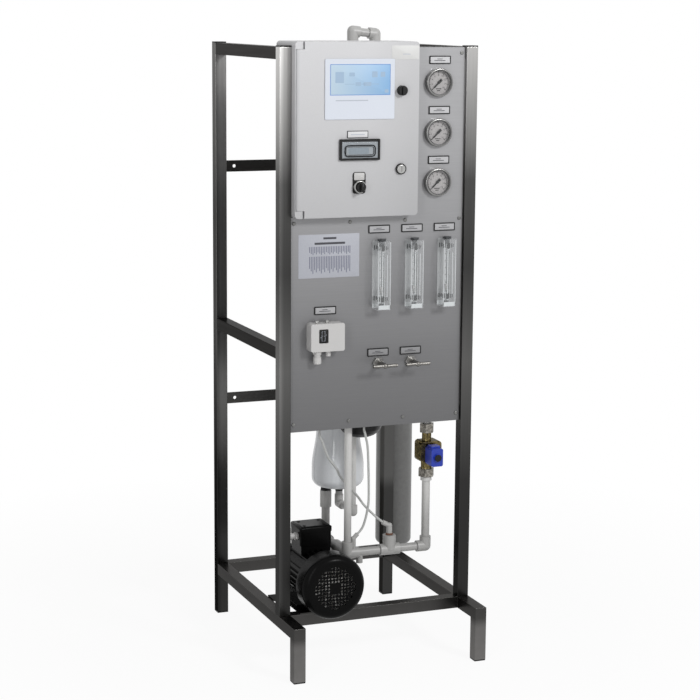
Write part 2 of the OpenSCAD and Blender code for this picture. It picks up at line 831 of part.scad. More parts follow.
module gauge_cases() {
    body_r = gauge_r - 4;
    color("silver") for (z = gauge_z) face(gauge_x, panel_recess, z) difference() {
        union() {
            round_front(gauge_r, gauge_out, 3);
            translate([0, 0, -36]) cylinder(r = body_r, h = 37);
            translate([0, 0, -52]) hex_z([0, 0, 0], 17, 22);
            translate([0, 0, -70]) cylinder(d = 13, h = 20);
        }
        translate([0, 0, dial_z]) cylinder(r = dial_r, h = gauge_out);
        translate([0, 0, lens_z]) cylinder(r = lens_r, h = gauge_out);
        translate([0, 0, dial_z - 8]) cylinder(d = needle_pin_d + 2 * run_gap, h = 20);
    }
}

module gauge_dials() {
    color("white") for (z = gauge_z) face(gauge_x, panel_recess, z) translate([0, 0, dial_z])
        difference() {
            cylinder(r = dial_r, h = 1.2);
            translate([0, 0, -1]) cylinder(d = needle_pin_d + 0.6, h = 4);
        }
}

module gauge_lenses() {
    color("lightcyan") for (z = gauge_z) face(gauge_x, panel_recess, z) translate([0, 0, lens_z])
        cylinder(r = lens_r, h = 2.5);
}

// Needle at its zero, pointing to the lower left
module gauge_needle(i) {
    tip = dial_r - 4;
    color("black") face(gauge_x, panel_recess, gauge_z[i]) {
        translate([0, 0, dial_z - 7]) cylinder(d = needle_pin_d, h = 10);
        translate([0, 0, dial_z + 2.5]) cylinder(r = 3.5, h = 1.8);
        translate([0, 0, dial_z + 2.8]) rotate(225) linear_extrude(0.9)
            polygon([[-9, -1.6], [tip, -0.5], [tip, 0.5], [-9, 1.6]]);
    }
}
module upper_needle() { gauge_needle(0); }
module middle_needle() { gauge_needle(1); }
module lower_needle() { gauge_needle(2); }

// Flowmeters

module flowmeter_blocks() {
    front = panel_recess - flow_depth;
    color("azure") for (x = flow_xs) difference() {
        translate([x, panel_recess - flow_depth / 2, flow_bot]) linear_extrude(flow_h)
            round_rect(flow_w, flow_depth, 1.5);
        bar_z([x, front + bore_out, flow_bot - 1], flow_h + 2, flow_bore_d);
        for (z = [low_port, high_port]) bar_y([x, front + bore_out, z], bore_out + 1, 10);
    }
}

module flowmeter_fittings() {
    bore_y = panel_recess - flow_depth + bore_out;
    color("dimgray") for (x = flow_xs) {
        // plugs in both ends of the bore and the guide rod between them
        bar_z([x, bore_y, flow_top - plug_in], plug_in + 4, flow_bore_d);
        hex_z([x, bore_y, flow_top], 5, 20);
        bar_z([x, bore_y, flow_bot], plug_in, flow_bore_d);
        bar_z([x, bore_y, flow_bot + plug_in - 1], flow_h - 2 * plug_in + 2, rod_d);
        // collar on which the float rests
        bar_z([x, bore_y, float_rest - seat_gap - 3], 3, 6);
        // threaded tails through the panel with their nuts
        for (z = [low_port, high_port]) difference() {
            union() {
                bar_y([x, panel_recess, z], tail_end - panel_recess, tail_d);
                translate([0, panel_back, 0]) rotate([-90, 0, 0]) hex_z([x, -z, 0], 8, 28);
            }
            bar_y([x, panel_recess - 1, z], tail_end - panel_recess + 2, 11);
        }
    }
}

// Float at the lower stop of its rod
module flow_float(i) {
    bore_y = panel_recess - flow_depth + bore_out;
    color("black") translate([flow_xs[i], bore_y, float_rest]) difference() {
        rotate_extrude() polygon([[0, 0], [2.2, 0], [5, float_h - 6], [5, float_h], [0, float_h]]);
        translate([0, 0, -1]) cylinder(d = rod_d + 2 * run_gap, h = float_h + 2);
    }
}
module left_float() { flow_float(0); }
module middle_float() { flow_float(1); }
module right_float() { flow_float(2); }

// Valves

bonnet_out = 16;
module valve_bodies() {
    body_half = 22;
    elbow_d = tail_d - 1;
    sample_in = 17.5;
    color("darkgoldenrod") {
        for (x = valve_xs) difference() {
            union() {
                face(x, panel_recess, valve_z) cylinder(d = 18, h = bonnet_out);
                face(x, panel_recess, valve_z) cylinder(d = 26 / cos(30), h = 7, $fn = 6);
                bar_y([x, panel_recess, valve_z], riser_y - panel_recess, stem_d + 11);
                bar_x([x - body_half, riser_y, valve_z], 2 * body_half, valve_d);
            }
            face(x, riser_y, valve_z) cylinder(d = stem_d + 2 * run_gap, h = 80);
        }
        bar_x([valve_xs[0] + body_half, riser_y, valve_z],
            valve_xs[1] - valve_xs[0] - 2 * body_half, return_d);
        // push-in port of the sample tube
        bar_z([valve_xs[0] - sample_in, riser_y, valve_z - valve_d], 18, 12);
        // line from the left valve up to the left flowmeter's lower tail
        bar_z([flow_xs[0], riser_y, valve_z], low_port - valve_z, return_d);
        elbow([flow_xs[0], riser_y, low_port], elbow_d, [[0, -1, 0], [0, 0, -1]], riser_y - tail_end);
        // line from the right valve up to the right flowmeter's lower tail
        bar_x([valve_xs[1] + body_half, riser_y, valve_z], flow_xs[2] - valve_xs[1] - body_half, return_d);
        elbow([flow_xs[2], riser_y, valve_z], return_d, [[0, 0, 1], [-1, 0, 0]], 20);
        bar_z([flow_xs[2], riser_y, valve_z], low_port - valve_z, return_d);
        elbow([flow_xs[2], riser_y, low_port], elbow_d, [[0, -1, 0], [0, 0, -1]], riser_y - tail_end);
    }
}

// Handle with its stem, T-bar level at rest
module valve_handle(i) {
    color("silver") face(valve_xs[i], panel_recess, valve_z) {
        translate([0, 0, -20]) cylinder(d = stem_d, h = bar_out + 20);
        translate([0, 0, bonnet_out + seat_gap]) cylinder(d = 13, h = bar_out - bonnet_out - seat_gap);
        translate([-bar_len / 2, 0, bar_out]) rotate([0, 90, 0]) cylinder(d = bar_d, h = bar_len);
        translate([0, 0, bar_out]) sphere(d = 13);
    }
}
module left_valve_handle() { valve_handle(0); }
module right_valve_handle() { valve_handle(1); }

// Pressure switch

module pressure_switch() {
    color("whitesmoke") difference() {
        union() {
            face(switch_x, panel_recess, switch_z + switch_h / 2) linear_extrude(switch_depth)
                round_rect(switch_w, switch_h, 5);
            bar_y([sense_x, panel_recess - 1, switch_z + 12], 25, 10);
            bar_y([sense_x, 30, switch_z + 12], 16, 14);
            bar_z([sense_x, 40, switch_z - 30], 42, 12);
            bar_z([sense_x, panel_recess - switch_depth / 2, switch_z - 14], 15, 12);
        }
        face(switch_l + 33, panel_recess - switch_depth + 3, switch_z + 38) linear_extrude(10)
            round_rect(25, 35, 3);
        for (x = spindle_xs) bar_z([x, panel_recess - switch_depth / 2, switch_z + switch_h - 20], 30,
            5 + 2 * run_gap);
    }
}

// Setting spindle with a slotted head on top of the switch
module setting_spindle(i) {
    color("silver") translate([spindle_xs[i], panel_recess - switch_depth / 2, switch_z + switch_h]) {
        translate([0, 0, -18]) cylinder(d = 5, h = 19);
        difference() {
            translate([0, 0, seat_gap]) cylinder(d = 11, h = 6);
            translate([-8, -0.8, 4]) cube([16, 1.6, 4]);
        }
    }
}
module range_spindle() { setting_spindle(0); }
module difference_spindle() { setting_spindle(1); }

// Cable gland along local z with its hexagon and its dome nut
module gland(d) {
    difference() {
        union() {
            cylinder(d = d / cos(30), h = 8, $fn = 6);
            cylinder(d = d - 4, h = 16);
            translate([0, 0, 15]) round_front(d / 2, 18, 4);
        }
        translate([0, 0, 4]) cylinder(d = 0.45 * d, h = 40);
    }
}

module cable_glands() {
    color("gainsboro") {
        translate([gland_x, panel_recess - switch_depth / 2, switch_z]) rotate([180, 0, 0]) gland(gland_d);
        translate([motor_x - box_half + 1.5, box_front + 24, box_z + 23]) rotate([0, -90, 0])
            gland(gland_d - 2);
    }
}

// Motor and pump

module pump_plate() {
    color("gray") translate([0, 0, base_top]) linear_extrude(plate_t) {
        translate([motor_x - plate_w / 2, 0]) square([plate_w, plate_len]);
        translate([-inner + 1, plate_len - arm_w]) square([inner - 1 + motor_x, arm_w]);
    }
}

module motor() {
    fins = 28;
    foot_y = cover_back + 95;
    color("black") difference() {
        union() {
            face(motor_x, motor_back, motor_z) linear_extrude(motor_len) {
                circle(d = motor_d - 16);
                for (i = [0:fins - 1]) rotate(i * 360 / fins) translate([0, -1.3]) square([motor_d / 2, 2.6]);
            }
            face(motor_x, motor_back, motor_z) cylinder(d = motor_d - 4, h = 14);
            face(motor_x, cover_back + 14, motor_z) cylinder(d = motor_d, h = 14);
            face(motor_x, cover_back, motor_z) cylinder(d = cover_d - 4, h = 10);
            box(motor_x - box_half + 4, motor_x + box_half - 4, box_front + 4, box_back - 4,
                motor_z + motor_d / 2 - 20, box_z);
            for (s = [-1, 1]) {
                translate([motor_x + s * 52, foot_y, plate_top + 5]) cube([28, 110, 10], center = true);
                translate([motor_x + s * 44, foot_y, plate_top + 20]) cube([10, 100, 40], center = true);
            }
        }
        face(motor_x, motor_back + 1, motor_z) cylinder(d = shaft_d + 2 * run_gap, h = motor_len + 20);
    }
}

module fan_cover() {
    rc = cover_d / 2;
    wall = 1.5;
    edge = 20;
    boss_r = 17;
    n = floor(grille_d / 2 / grille_pitch);
    color("black") face(motor_x, cover_back, motor_z) difference() {
        round_front(rc, cover_len, edge);
        translate([0, 0, -1]) round_front(rc - wall, cover_len - wall + 1, edge - wall);
        for (i = [-n:n], k = [-n:n]) {
            out = norm([i, k]) * grille_pitch;
            if (out < (grille_d - grille_hole) / 2 && out > boss_r)
                translate([i * grille_pitch, k * grille_pitch, cover_len - 4])
                    cylinder(d = grille_hole, h = 8);
        }
    }
}

// Block along y whose upper edges are round, seen from the front
module round_top(w, l, h, edge) {
    translate([0, l / 2, 0]) rotate([90, 0, 0]) linear_extrude(l) translate([0, h / 2 - edge])
        round_rect(w, h + 2 * edge, edge);
}

module terminal_box() {
    w = 2 * box_half;
    l = box_back - box_front;
    lid_h = 16;
    edge = 10;
    screw_in = 17;
    color("black") translate([motor_x, (box_front + box_back) / 2, box_z]) {
        linear_extrude(box_h - lid_h + 1) round_rect(w - 3, l - 3, 7);
        intersection() {
            translate([0, 0, box_h - lid_h]) linear_extrude(lid_h + 2) round_rect(w, l, 8);
            round_top(w + 1, 2 * l, box_h, edge);
            rotate([0, 0, 90]) round_top(l + 1, 2 * w, box_h + 0.4, edge);
        }
        for (sx = [-1, 1], sy = [-1, 1])
            translate([sx * (box_half - screw_in), sy * (l / 2 - screw_in), box_h - 1])
                cylinder(d = 8, h = 2.5);
    }
}

module motor_rotor() {
    blades = 9;
    fan_r = cover_d / 2 - 12;
    color("dimgray") {
        face(motor_x, motor_back + shaft_in, motor_z)
            cylinder(d = shaft_d, h = motor_len + shaft_in + cover_len - 14);
        face(motor_x, cover_back - 16, motor_z) cylinder(d = 42, h = 26);
        face(motor_x, cover_back - 13, motor_z) cylinder(r = fan_r, h = 3);
        face(motor_x, cover_back - 15, motor_z) for (i = [0:blades - 1]) rotate(i * 360 / blades)
            translate([18, -1, 0]) cube([fan_r - 20, 2, 26]);
    }
}

module pump() {
    barrel_y = motor_back + 8;
    color("silver") difference() {
        union() {
            bar_y([motor_x, motor_back, motor_z], 8, motor_d - 12);
            bar_y([motor_x, barrel_y, motor_z], pump_len, pump_d);
            bar_y([motor_x, barrel_y + pump_len, motor_z], 10, pump_d - 14);
            box(motor_x, block_x, block_y, pressure_y + 20, motor_z - 20, run_z + 18);
        }
        bar_y([motor_x, motor_back - 1, motor_z], shaft_in + 3, shaft_d + 2 * run_gap);
    }
}

// Vessels

module filter_vessel() {
    r = bulb_d / 2;
    rn = bulb_neck_d / 2;
    waist_z = 150;
    color("whitesmoke") translate([bulb_x, bulb_y, bulb_z]) {
        rotate_extrude() polygon(concat([[0, 0], [r - 26, 0]],
            [for (a = [-80:10:0]) [r - 26 + 26 * cos(a), 26 + 26 * sin(a)]],
            [for (t = [0.1:0.1:1]) [rn + (r - rn) * (1 + cos(180 * t)) / 2, 52 + t * (waist_z - 52)]],
            [for (a = [0:15:90]) [rn - 40 + 40 * cos(a), bulb_top - bulb_z - 40 + 40 * sin(a)]],
            [[0, bulb_top - bulb_z]]));
        translate([0, 0, bulb_top - bulb_z - 1]) cylinder(d = 40, h = shelf_z - bulb_top + 1);
    }
}

module cartridge_filter() {
    r = bowl_d / 2;
    color("black") translate([bowl_x, bowl_y, bowl_low]) {
        rotate_extrude() polygon(concat([[0, 0], [14, 0]],
            [for (a = [-75:15:0]) [r - 44 + 44 * cos(a), 44 + 44 * sin(a)]],
            [[r, bowl_top - bowl_low], [0, bowl_top - bowl_low]]));
        translate([0, 0, bowl_top - bowl_low - 22]) cylinder(r = r + 2, h = 22);
        translate([0, 0, bowl_top - bowl_low]) cylinder(r = r + 1, h = head_h);
        bar_x([r - 6, 0, bowl_top - bowl_low + head_h / 2], 20, 34);
    }
}

module membrane_vessel() {
    shell = 3;
    inside = vessel_len - 2 * cap_h;
    color("silver") translate([vessel_x, vessel_y, vessel_z]) {
        round_cap();
        translate([0, 0, vessel_len]) rotate([180, 0, 0]) round_cap();
        difference() {
            translate([0, 0, cap_h]) cylinder(r = vessel_r, h = inside);
            translate([0, 0, cap_h - 1]) cylinder(r = vessel_r - shell, h = inside + 2);
        }
        // membrane element, free inside the shell
        translate([0, 0, cap_h + seat_gap]) cylinder(r = vessel_r - shell - seat_gap, h = element_len);
        // permeate, reject and feed ports
        translate([0, 0, vessel_len - 1]) cylinder(d = pipe_d + 2 * fit_wall, h = 23);
        bar_x([-vessel_r - port_reach, 0, reject_port_z - vessel_z], port_reach + 2, reject_d + 2 * fit_wall);
        bar_y([0, vessel_r - 2, feed_port_z - vessel_z], press_y - vessel_y - vessel_r - 13,
            press_d + 2 * fit_wall);
    }
}
// End cap of the membrane vessel, its rounded edge down
module round_cap() {
    translate([0, 0, cap_h]) rotate([180, 0, 0]) round_front(vessel_r, cap_h, 15);
}

module vessel_brackets() {
    clamp_r = vessel_r + seat_gap;
    color("silver") {
        for (z = clamp_zs) difference() {
            union() {
                box(inner, vessel_x + vessel_r, frame_d, frame_d + bracket_t, z - 18, z + 18);
                translate([vessel_x, vessel_y, z - 15]) cylinder(r = clamp_r + band_t, h = 30);
            }
            translate([vessel_x, vessel_y, z - 30]) cylinder(r = clamp_r, h = 60);
        }
        // shelf on the right middle rail and the panel, from which both filters hang
        box(-42, half_w - 2, 68, bulb_y + 32, shelf_z, shelf_z + bracket_t);
        box(26, 74, panel_back, 70, shelf_z, shelf_z + bracket_t);
        box(26, 74, panel_back, panel_back + bracket_t, shelf_z, shelf_z + 40);
    }
}

// Feed line

solenoid_z = panel_low - solenoid_drop;
module solenoid_valve() {
    color("darkgoldenrod") {
        hex_z([riser_x, riser_y, solenoid_z + 50], 23, 33);
        bar_z([riser_x, riser_y, solenoid_z + 27], 24, 24);
        face(riser_x + 4, riser_y + 20, solenoid_z + 2) linear_extrude(42) round_rect(57, 54, 9);
        bar_z([riser_x, riser_y, solenoid_z - 46], 30, 28);
        hex_z([riser_x, riser_y, solenoid_z - 65], 20, 37);
    }
}

module solenoid_coil() {
    coil_back = riser_y - 22;
    color("blue") {
        face(riser_x + 3, coil_back, solenoid_z - 5) linear_extrude(40) round_rect(32, 46, 5);
        face(riser_x + 3, coil_back - 40, solenoid_z - 5) round_front(9, 5, 2);
        box(riser_x - 9, riser_x + 15, coil_back - 30, coil_back - 6, solenoid_z + 17, solenoid_z + 23);
    }
}

module feed_riser() {
    socket_z = solenoid_z - 65;
    inlet_z = solenoid_z + inlet_up;
    inlet_len = rear_front - 50 - riser_y;
    socket_len = 40;
    socket_depth = 25;
    color("gainsboro") {
        bar_z([riser_x, riser_y, socket_z - 11], 11, pipe_d + 2 * fit_wall);
        bar_z([riser_x, riser_y, run_z], socket_z - 10 - run_z, pipe_d);
        elbow([riser_x, riser_y, run_z], pipe_d, [[0, 0, 1], [-1, 0, 0]], 25);
        bar_x([tee_x + 27, riser_y, run_z], riser_x - tee_x - 27, pipe_d);
        // inlet line behind the panel, open to the rear
        difference() {
            union() {
                bar_z([riser_x, riser_y, solenoid_z + 73], inlet_z - solenoid_z - 73, pipe_d);
                elbow([riser_x, riser_y, inlet_z], pipe_d, [[0, 0, -1], [0, 1, 0]], 25);
                bar_y([riser_x, riser_y, inlet_z], inlet_len - socket_len / 2, pipe_d);
                bar_y([riser_x, riser_y + inlet_len - socket_len, inlet_z], socket_len, pipe_d + 2 * fit_wall);
            }
            bar_y([riser_x, riser_y + inlet_len - socket_depth, inlet_z], socket_len, pipe_d);
        }
    }
}

module feed_manifold() {
    fit_d = pipe_d + 2 * fit_wall;
    end_x = -run_end;
    union_len = 80;
    color("gainsboro") {
        bar_x([tee_x - 27, riser_y, run_z], 54, fit_d);
        bar_z([tee_x, riser_y, run_z], 38, fit_d + 4);
        bar_z([tee_x, riser_y, run_z + 38], 24, 15);
        translate([tee_x, riser_y, run_z + 62]) sphere(d = 15);
        translate([tee_x, riser_y, run_z + 62]) rotate([0, -60, 0]) cylinder(d = 12, h = 22);
        bar_x([end_x, riser_y, run_z], tee_x - 27 - end_x, pipe_d);
        elbow([end_x, riser_y, run_z], pipe_d, [[1, 0, 0], [0, 1, 0], [0, 0, 1]], 30);
        bar_z([end_x + 33, riser_y, run_z - 28], 28, 17);
        bar_z([end_x + 16, riser_y, run_z + 10], 27, 13);
        translate([end_x + 16, riser_y, run_z + 37]) sphere(d = 13);
        translate([end_x + 16, riser_y, run_z + 37]) rotate([0, 45, 0]) cylinder(d = 11, h = 16);
        bar_y([end_x, riser_y, run_z], suction_y - riser_y, pipe_d);
        bar_y([end_x, riser_y, run_z], union_len, fit_d + 2);
        elbow([end_x, suction_y, run_z], pipe_d, [[0, -1, 0], [-1, 0, 0]], end_x - block_x);
    }
}

module vessel_pipes() {
    d_link = 15;
    color("gainsboro") {
        // from the pump up to the left port of the white vessel
        bar_z([port_left, bulb_y, bulb_z - 10], 10, 26);
        bar_z([port_left, bulb_y, bulb_z - 54], 44, press_d + 2 * fit_wall);
        bar_z([port_left, pressure_y, motor_z], bulb_z - 54 - motor_z, press_d);
        elbow([port_left, pressure_y, motor_z], press_d, [[0, 0, 1], [-1, 0, 0]], 24);
        bar_x([block_x, pressure_y, motor_z], port_left - block_x, press_d);
        // from the right port to the bottom of the black housing
        bar_z([port_right, bulb_y, bulb_z - 28], 28, 19);
        elbow([port_right, bulb_y, link_z], d_link, [[0, 0, 1], [0, -1, 0]], 24);
        bar_y([port_right, link_y, link_z], bulb_y - link_y, d_link);
        elbow([port_right, link_y, link_z], d_link, [[0, 1, 0], [0, 0, 1]], 18);
        bar_z([port_right, link_y, link_z], bowl_low - link_z, d_link);
        // from the housing's head round behind the membrane vessel to its lower end
        head_end = bowl_x + bowl_d / 2 + 14;
        bar_x([head_end, bowl_y, head_z], press_x - head_end, press_d);
        elbow([press_x, bowl_y, head_z], press_d, [[-1, 0, 0], [0, 1, 0]], 24);
        bar_y([press_x, bowl_y, head_z], press_y - bowl_y, press_d);
        elbow([press_x, press_y, head_z], press_d, [[0, -1, 0], [1, 0, 0]], 24);
        bar_x([press_x, press_y, head_z], vessel_x - press_x, press_d);
        elbow([vessel_x, press_y, head_z], press_d, [[-1, 0, 0], [0, 0, -1]], 24);
        bar_z([vessel_x, press_y, feed_port_z], head_z - feed_port_z, press_d);
        elbow([vessel_x, press_y, feed_port_z], press_d, [[0, 0, 1]], 24);
        // from the upper end of the membrane vessel forward to the right valve
        reject_x = valve_xs[1];
        reject_end = vessel_x - vessel_r - port_reach;
        bar_x([reject_x, vessel_y, reject_port_z], reject_end - reject_x, reject_d);
        elbow([reject_x, vessel_y, reject_port_z], reject_d, [[1, 0, 0], [0, 0, -1]], 24);
        bar_z([reject_x, vessel_y, valve_z], reject_port_z - valve_z, reject_d);
        elbow([reject_x, vessel_y, valve_z], reject_d, [[0, 0, 1], [0, -1, 0]], 24);
        bar_y([reject_x, riser_y + valve_d / 2, valve_z], vessel_y - riser_y - valve_d / 2, reject_d);
    }
}

module return_pipe() {
    end_x = -run_end;
    top_x = flow_xs[0];
    color("gainsboro") {
        bar_z([end_x, riser_y, run_z + 30], high_port - run_z - 30, return_d);
        elbow([end_x, riser_y, high_port], return_d, [[0, 0, -1], [1, 0, 0]], 22);
        bar_x([end_x, riser_y, high_port], top_x - end_x, return_d);
        elbow([top_x, riser_y, high_port], tail_d - 1, [[-1, 0, 0], [0, -1, 0]], riser_y - tail_end);
    }
}

module permeate_line() {
    fit_d = pipe_d + 2 * fit_wall;
    bend_y = 262;
    bend_fall = 6;
    bend_reach = 18;
    outlet_reach = 34;
    right_x = flow_xs[1];
    left_x = right_x - bend_pitch;
    crown_z = frame_h + bend_top - pipe_d / 2 - fit_wall;
    drop_z = vessel_top + 60;
    right_crown = crown_z - bend_fall;
    slope = atan2(bend_fall, bend_pitch);
    color("gainsboro") {
        // crown that falls a little to the right
        translate([left_x, bend_y, crown_z]) rotate([0, 90 + slope, 0])
            cylinder(d = pipe_d, h = norm([bend_pitch, bend_fall]));
        elbow([left_x, bend_y, crown_z], pipe_d, [[0, 0, -1]], 24);
        translate([left_x, bend_y, crown_z]) rotate([0, 90 + slope, 0]) cylinder(d = fit_d, h = bend_reach);
        elbow([right_x, bend_y, right_crown], pipe_d, [[0, 0, -1]], 24);
        translate([right_x, bend_y, right_crown]) rotate([0, slope - 90, 0])
            cylinder(d = fit_d, h = bend_reach);
        // right leg to the lower tail of the middle flowmeter
        bar_z([right_x, bend_y, low_port], right_crown - low_port, pipe_d);
        elbow([right_x, bend_y, low_port], pipe_d, [[0, 0, 1], [0, -1, 0]], 24);
        bar_y([right_x, tail_end, low_port], bend_y - tail_end, pipe_d);
        // outlet elbow on the upper tail of the middle flowmeter, open to the right
        difference() {
            union() {
                elbow([right_x, riser_y, high_port], tail_d - 1, [[0, -1, 0]], riser_y - tail_end);
                bar_x([right_x, riser_y, high_port], outlet_reach, tail_d - 1 + 2 * fit_wall);
            }
            bar_x([right_x + 12, riser_y, high_port], outlet_reach, 11);
        }
        // left leg back to the top of the membrane vessel
        bar_z([left_x, bend_y, drop_z], crown_z - drop_z, pipe_d);
        elbow([left_x, bend_y, drop_z], pipe_d, [[0, 0, 1], [0, 1, 0]], 24);
        bar_y([left_x, bend_y, drop_z], vessel_y - bend_y, pipe_d);
        elbow([left_x, vessel_y, drop_z], pipe_d, [[0, -1, 0], [1, 0, 0]], 24);
        bar_x([left_x, vessel_y, drop_z], vessel_x - left_x, pipe_d);
        elbow([vessel_x, vessel_y, drop_z], pipe_d, [[-1, 0, 0], [0, 0, -1]], 24);
        bar_z([vessel_x, vessel_y, vessel_top + 22], drop_z - vessel_top - 22, pipe_d);
    }
}

// Thin free tubes

module sensing_tube() {
    color("lightgray") swept_tube(sensing_route, hose_d, 3);
}

module sample_tube() {
    color("lightgray") swept_tube(sample_route, hose_d, 3);
}

stand() front_posts();
stand() rear_posts();
stand() base_frame();
stand() side_rails();
stand() panel_rails();
stand() rear_bars();
stand() tube_plugs();
stand() front_panel();
stand() panel_screws();
stand() label_holders();
stand() cabinet_body();
stand() cabinet_door();
stand() door_seal();
stand() hinge_pins();
stand() mounting_plate();
stand() control_gear();
stand() controller();
stand() window_frame();
stand() window_flap();
stand() selector_bezel();
stand() selector_knob();
stand() upper_lock();
stand() lower_lock();
stand() gauge_cases();
stand() gauge_dials();
stand() gauge_lenses();
stand() upper_needle();
stand() middle_needle();
stand() lower_needle();
stand() flowmeter_blocks();
stand() flowmeter_fittings();
stand() left_float();
stand() middle_float();
stand() right_float();
stand() valve_bodies();
stand() left_valve_handle();
stand() right_valve_handle();
stand() pressure_switch();
stand() range_spindle();
stand() difference_spindle();
stand() cable_glands();
stand() pump_plate();
stand() motor();
stand() fan_cover();
stand() terminal_box();
stand() motor_rotor();
stand() pump();
stand() filter_vessel();
stand() cartridge_filter();
stand() membrane_vessel();
stand() vessel_brackets();
stand() solenoid_valve();
stand() solenoid_coil();
stand() feed_riser();
stand() feed_manifold();
stand() vessel_pipes();
stand() return_pipe();
stand() permeate_line();
stand() sensing_tube();
stand() sample_tube();
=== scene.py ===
import math
import bmesh
import bpy
from mathutils import Matrix, Vector


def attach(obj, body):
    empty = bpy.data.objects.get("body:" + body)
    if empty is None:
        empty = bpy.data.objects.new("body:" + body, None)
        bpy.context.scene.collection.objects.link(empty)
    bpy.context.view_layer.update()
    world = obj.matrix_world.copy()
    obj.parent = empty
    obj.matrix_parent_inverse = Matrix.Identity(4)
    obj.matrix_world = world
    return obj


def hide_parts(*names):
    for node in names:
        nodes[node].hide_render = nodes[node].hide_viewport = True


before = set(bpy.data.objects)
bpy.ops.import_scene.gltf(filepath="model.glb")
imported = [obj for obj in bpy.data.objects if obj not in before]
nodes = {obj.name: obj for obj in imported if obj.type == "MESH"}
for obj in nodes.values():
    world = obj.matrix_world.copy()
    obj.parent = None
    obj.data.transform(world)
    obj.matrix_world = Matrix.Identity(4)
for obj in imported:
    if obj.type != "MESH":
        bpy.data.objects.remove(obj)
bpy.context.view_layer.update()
print("frame loaded:", len(nodes), "nodes")

# the drawing's datum is the middle of the frame at the front of the posts, in mm
datum = (45.15, 280.3)


def at(x, y, z):
    return Vector(((x - datum[0]) / 1000, (y - datum[1]) / 1000, z / 1000))


# camera, from the photograph's vanishing lines; lens and sensor in mm, sight in m
cameraView = {"place": (-1820.1, -4371.8, 1640.1), "yaw": 21.76, "pitch": 10.045, "roll": 0.438,
              "lens": 99.45, "sensor": 36, "sight": 60}


def makeCamera(view):
    camera = bpy.data.objects.new("photoCamera", bpy.data.cameras.new("photoCamera"))
    camera.data.lens = view["lens"]
    camera.data.sensor_width = view["sensor"]
    camera.data.clip_end = view["sight"]
    turn = Matrix.Rotation(math.radians(-view["yaw"]), 4, "Z")
    turn = turn @ Matrix.Rotation(math.radians(90 - view["pitch"]), 4, "X")
    turn = turn @ Matrix.Rotation(math.radians(view["roll"]), 4, "Z")
    camera.matrix_world = Matrix.Translation(at(*view["place"])) @ turn
    bpy.context.scene.collection.objects.link(camera)
    bpy.context.scene.camera = camera


makeCamera(cameraView)


def hexColour(code):
    parts = [int(code[i:i + 2], 16) / 255 for i in (1, 3, 5)]
    return [c / 12.92 if c <= 0.04045 else ((c + 0.055) / 1.055) ** 2.4 for c in parts] + [1.0]


# adds one node, sets its properties and sockets, and links what is given
def addNode(tree, kind, settings=None, links=None):
    node = tree.nodes.new(kind)
    for key, value in (settings or {}).items():
        if isinstance(key, int) or key in node.inputs:
            node.inputs[key].default_value = value
        else:
            setattr(node, key, value)
    for key, source in (links or {}).items():
        tree.links.new(source, node.inputs[key])
    return node


def startMaterial(name, colour, metallic, roughness, more=None):
    material = bpy.data.materials.new(name)
    material.use_nodes = True
    tree = material.node_tree
    shader = tree.nodes["Principled BSDF"]
    shader.inputs["Base Color"].default_value = hexColour(colour)
    shader.inputs["Metallic"].default_value = metallic
    shader.inputs["Roughness"].default_value = roughness
    for key, value in (more or {}).items():
        shader.inputs[key].default_value = value
    return material, tree, shader


# a painted shade lists the places in mm along an axis, from the datum, with the share of the colour that is
# left there: light and shade painted into the colour by place
paintedShadeSpans = {"X": (-300, 300), "Z": (0, 1600)}


def addPaintedShade(tree, tone, place, axis, paintedShade):
    low, high = paintedShadeSpans[axis]
    start = at(low, 0, low)
    end = at(high, 0, high)
    reach = {"X": (start.x, end.x), "Z": (start.z, end.z)}[axis]
    parts = addNode(tree, "ShaderNodeSeparateXYZ", None, {"Vector": place.outputs["Object"]})
    level = addNode(tree, "ShaderNodeMapRange", {"From Min": reach[0], "From Max": reach[1]},
                    {"Value": parts.outputs[axis]})
    shade = addNode(tree, "ShaderNodeValToRGB", None, {"Fac": level.outputs["Result"]})
    stops = shade.color_ramp.elements
    while len(stops) < len(paintedShade):
        stops.new(0.5)
    for stop, (spot, share) in zip(stops, paintedShade):
        stop.position = (spot - low) / (high - low)
        stop.color = (share, share, share, 1)
    dimmed = addNode(tree, "ShaderNodeVectorMath", {"operation": "MULTIPLY"},
                     {0: tone, 1: shade.outputs["Color"]})
    return dimmed.outputs["Vector"]


# noise of every grain, and where on it the darker and the paler colour are reached
grainLook = {"detail": 3.0, "roughness": 0.6, "darkBelow": 0.3, "paleAbove": 0.7}


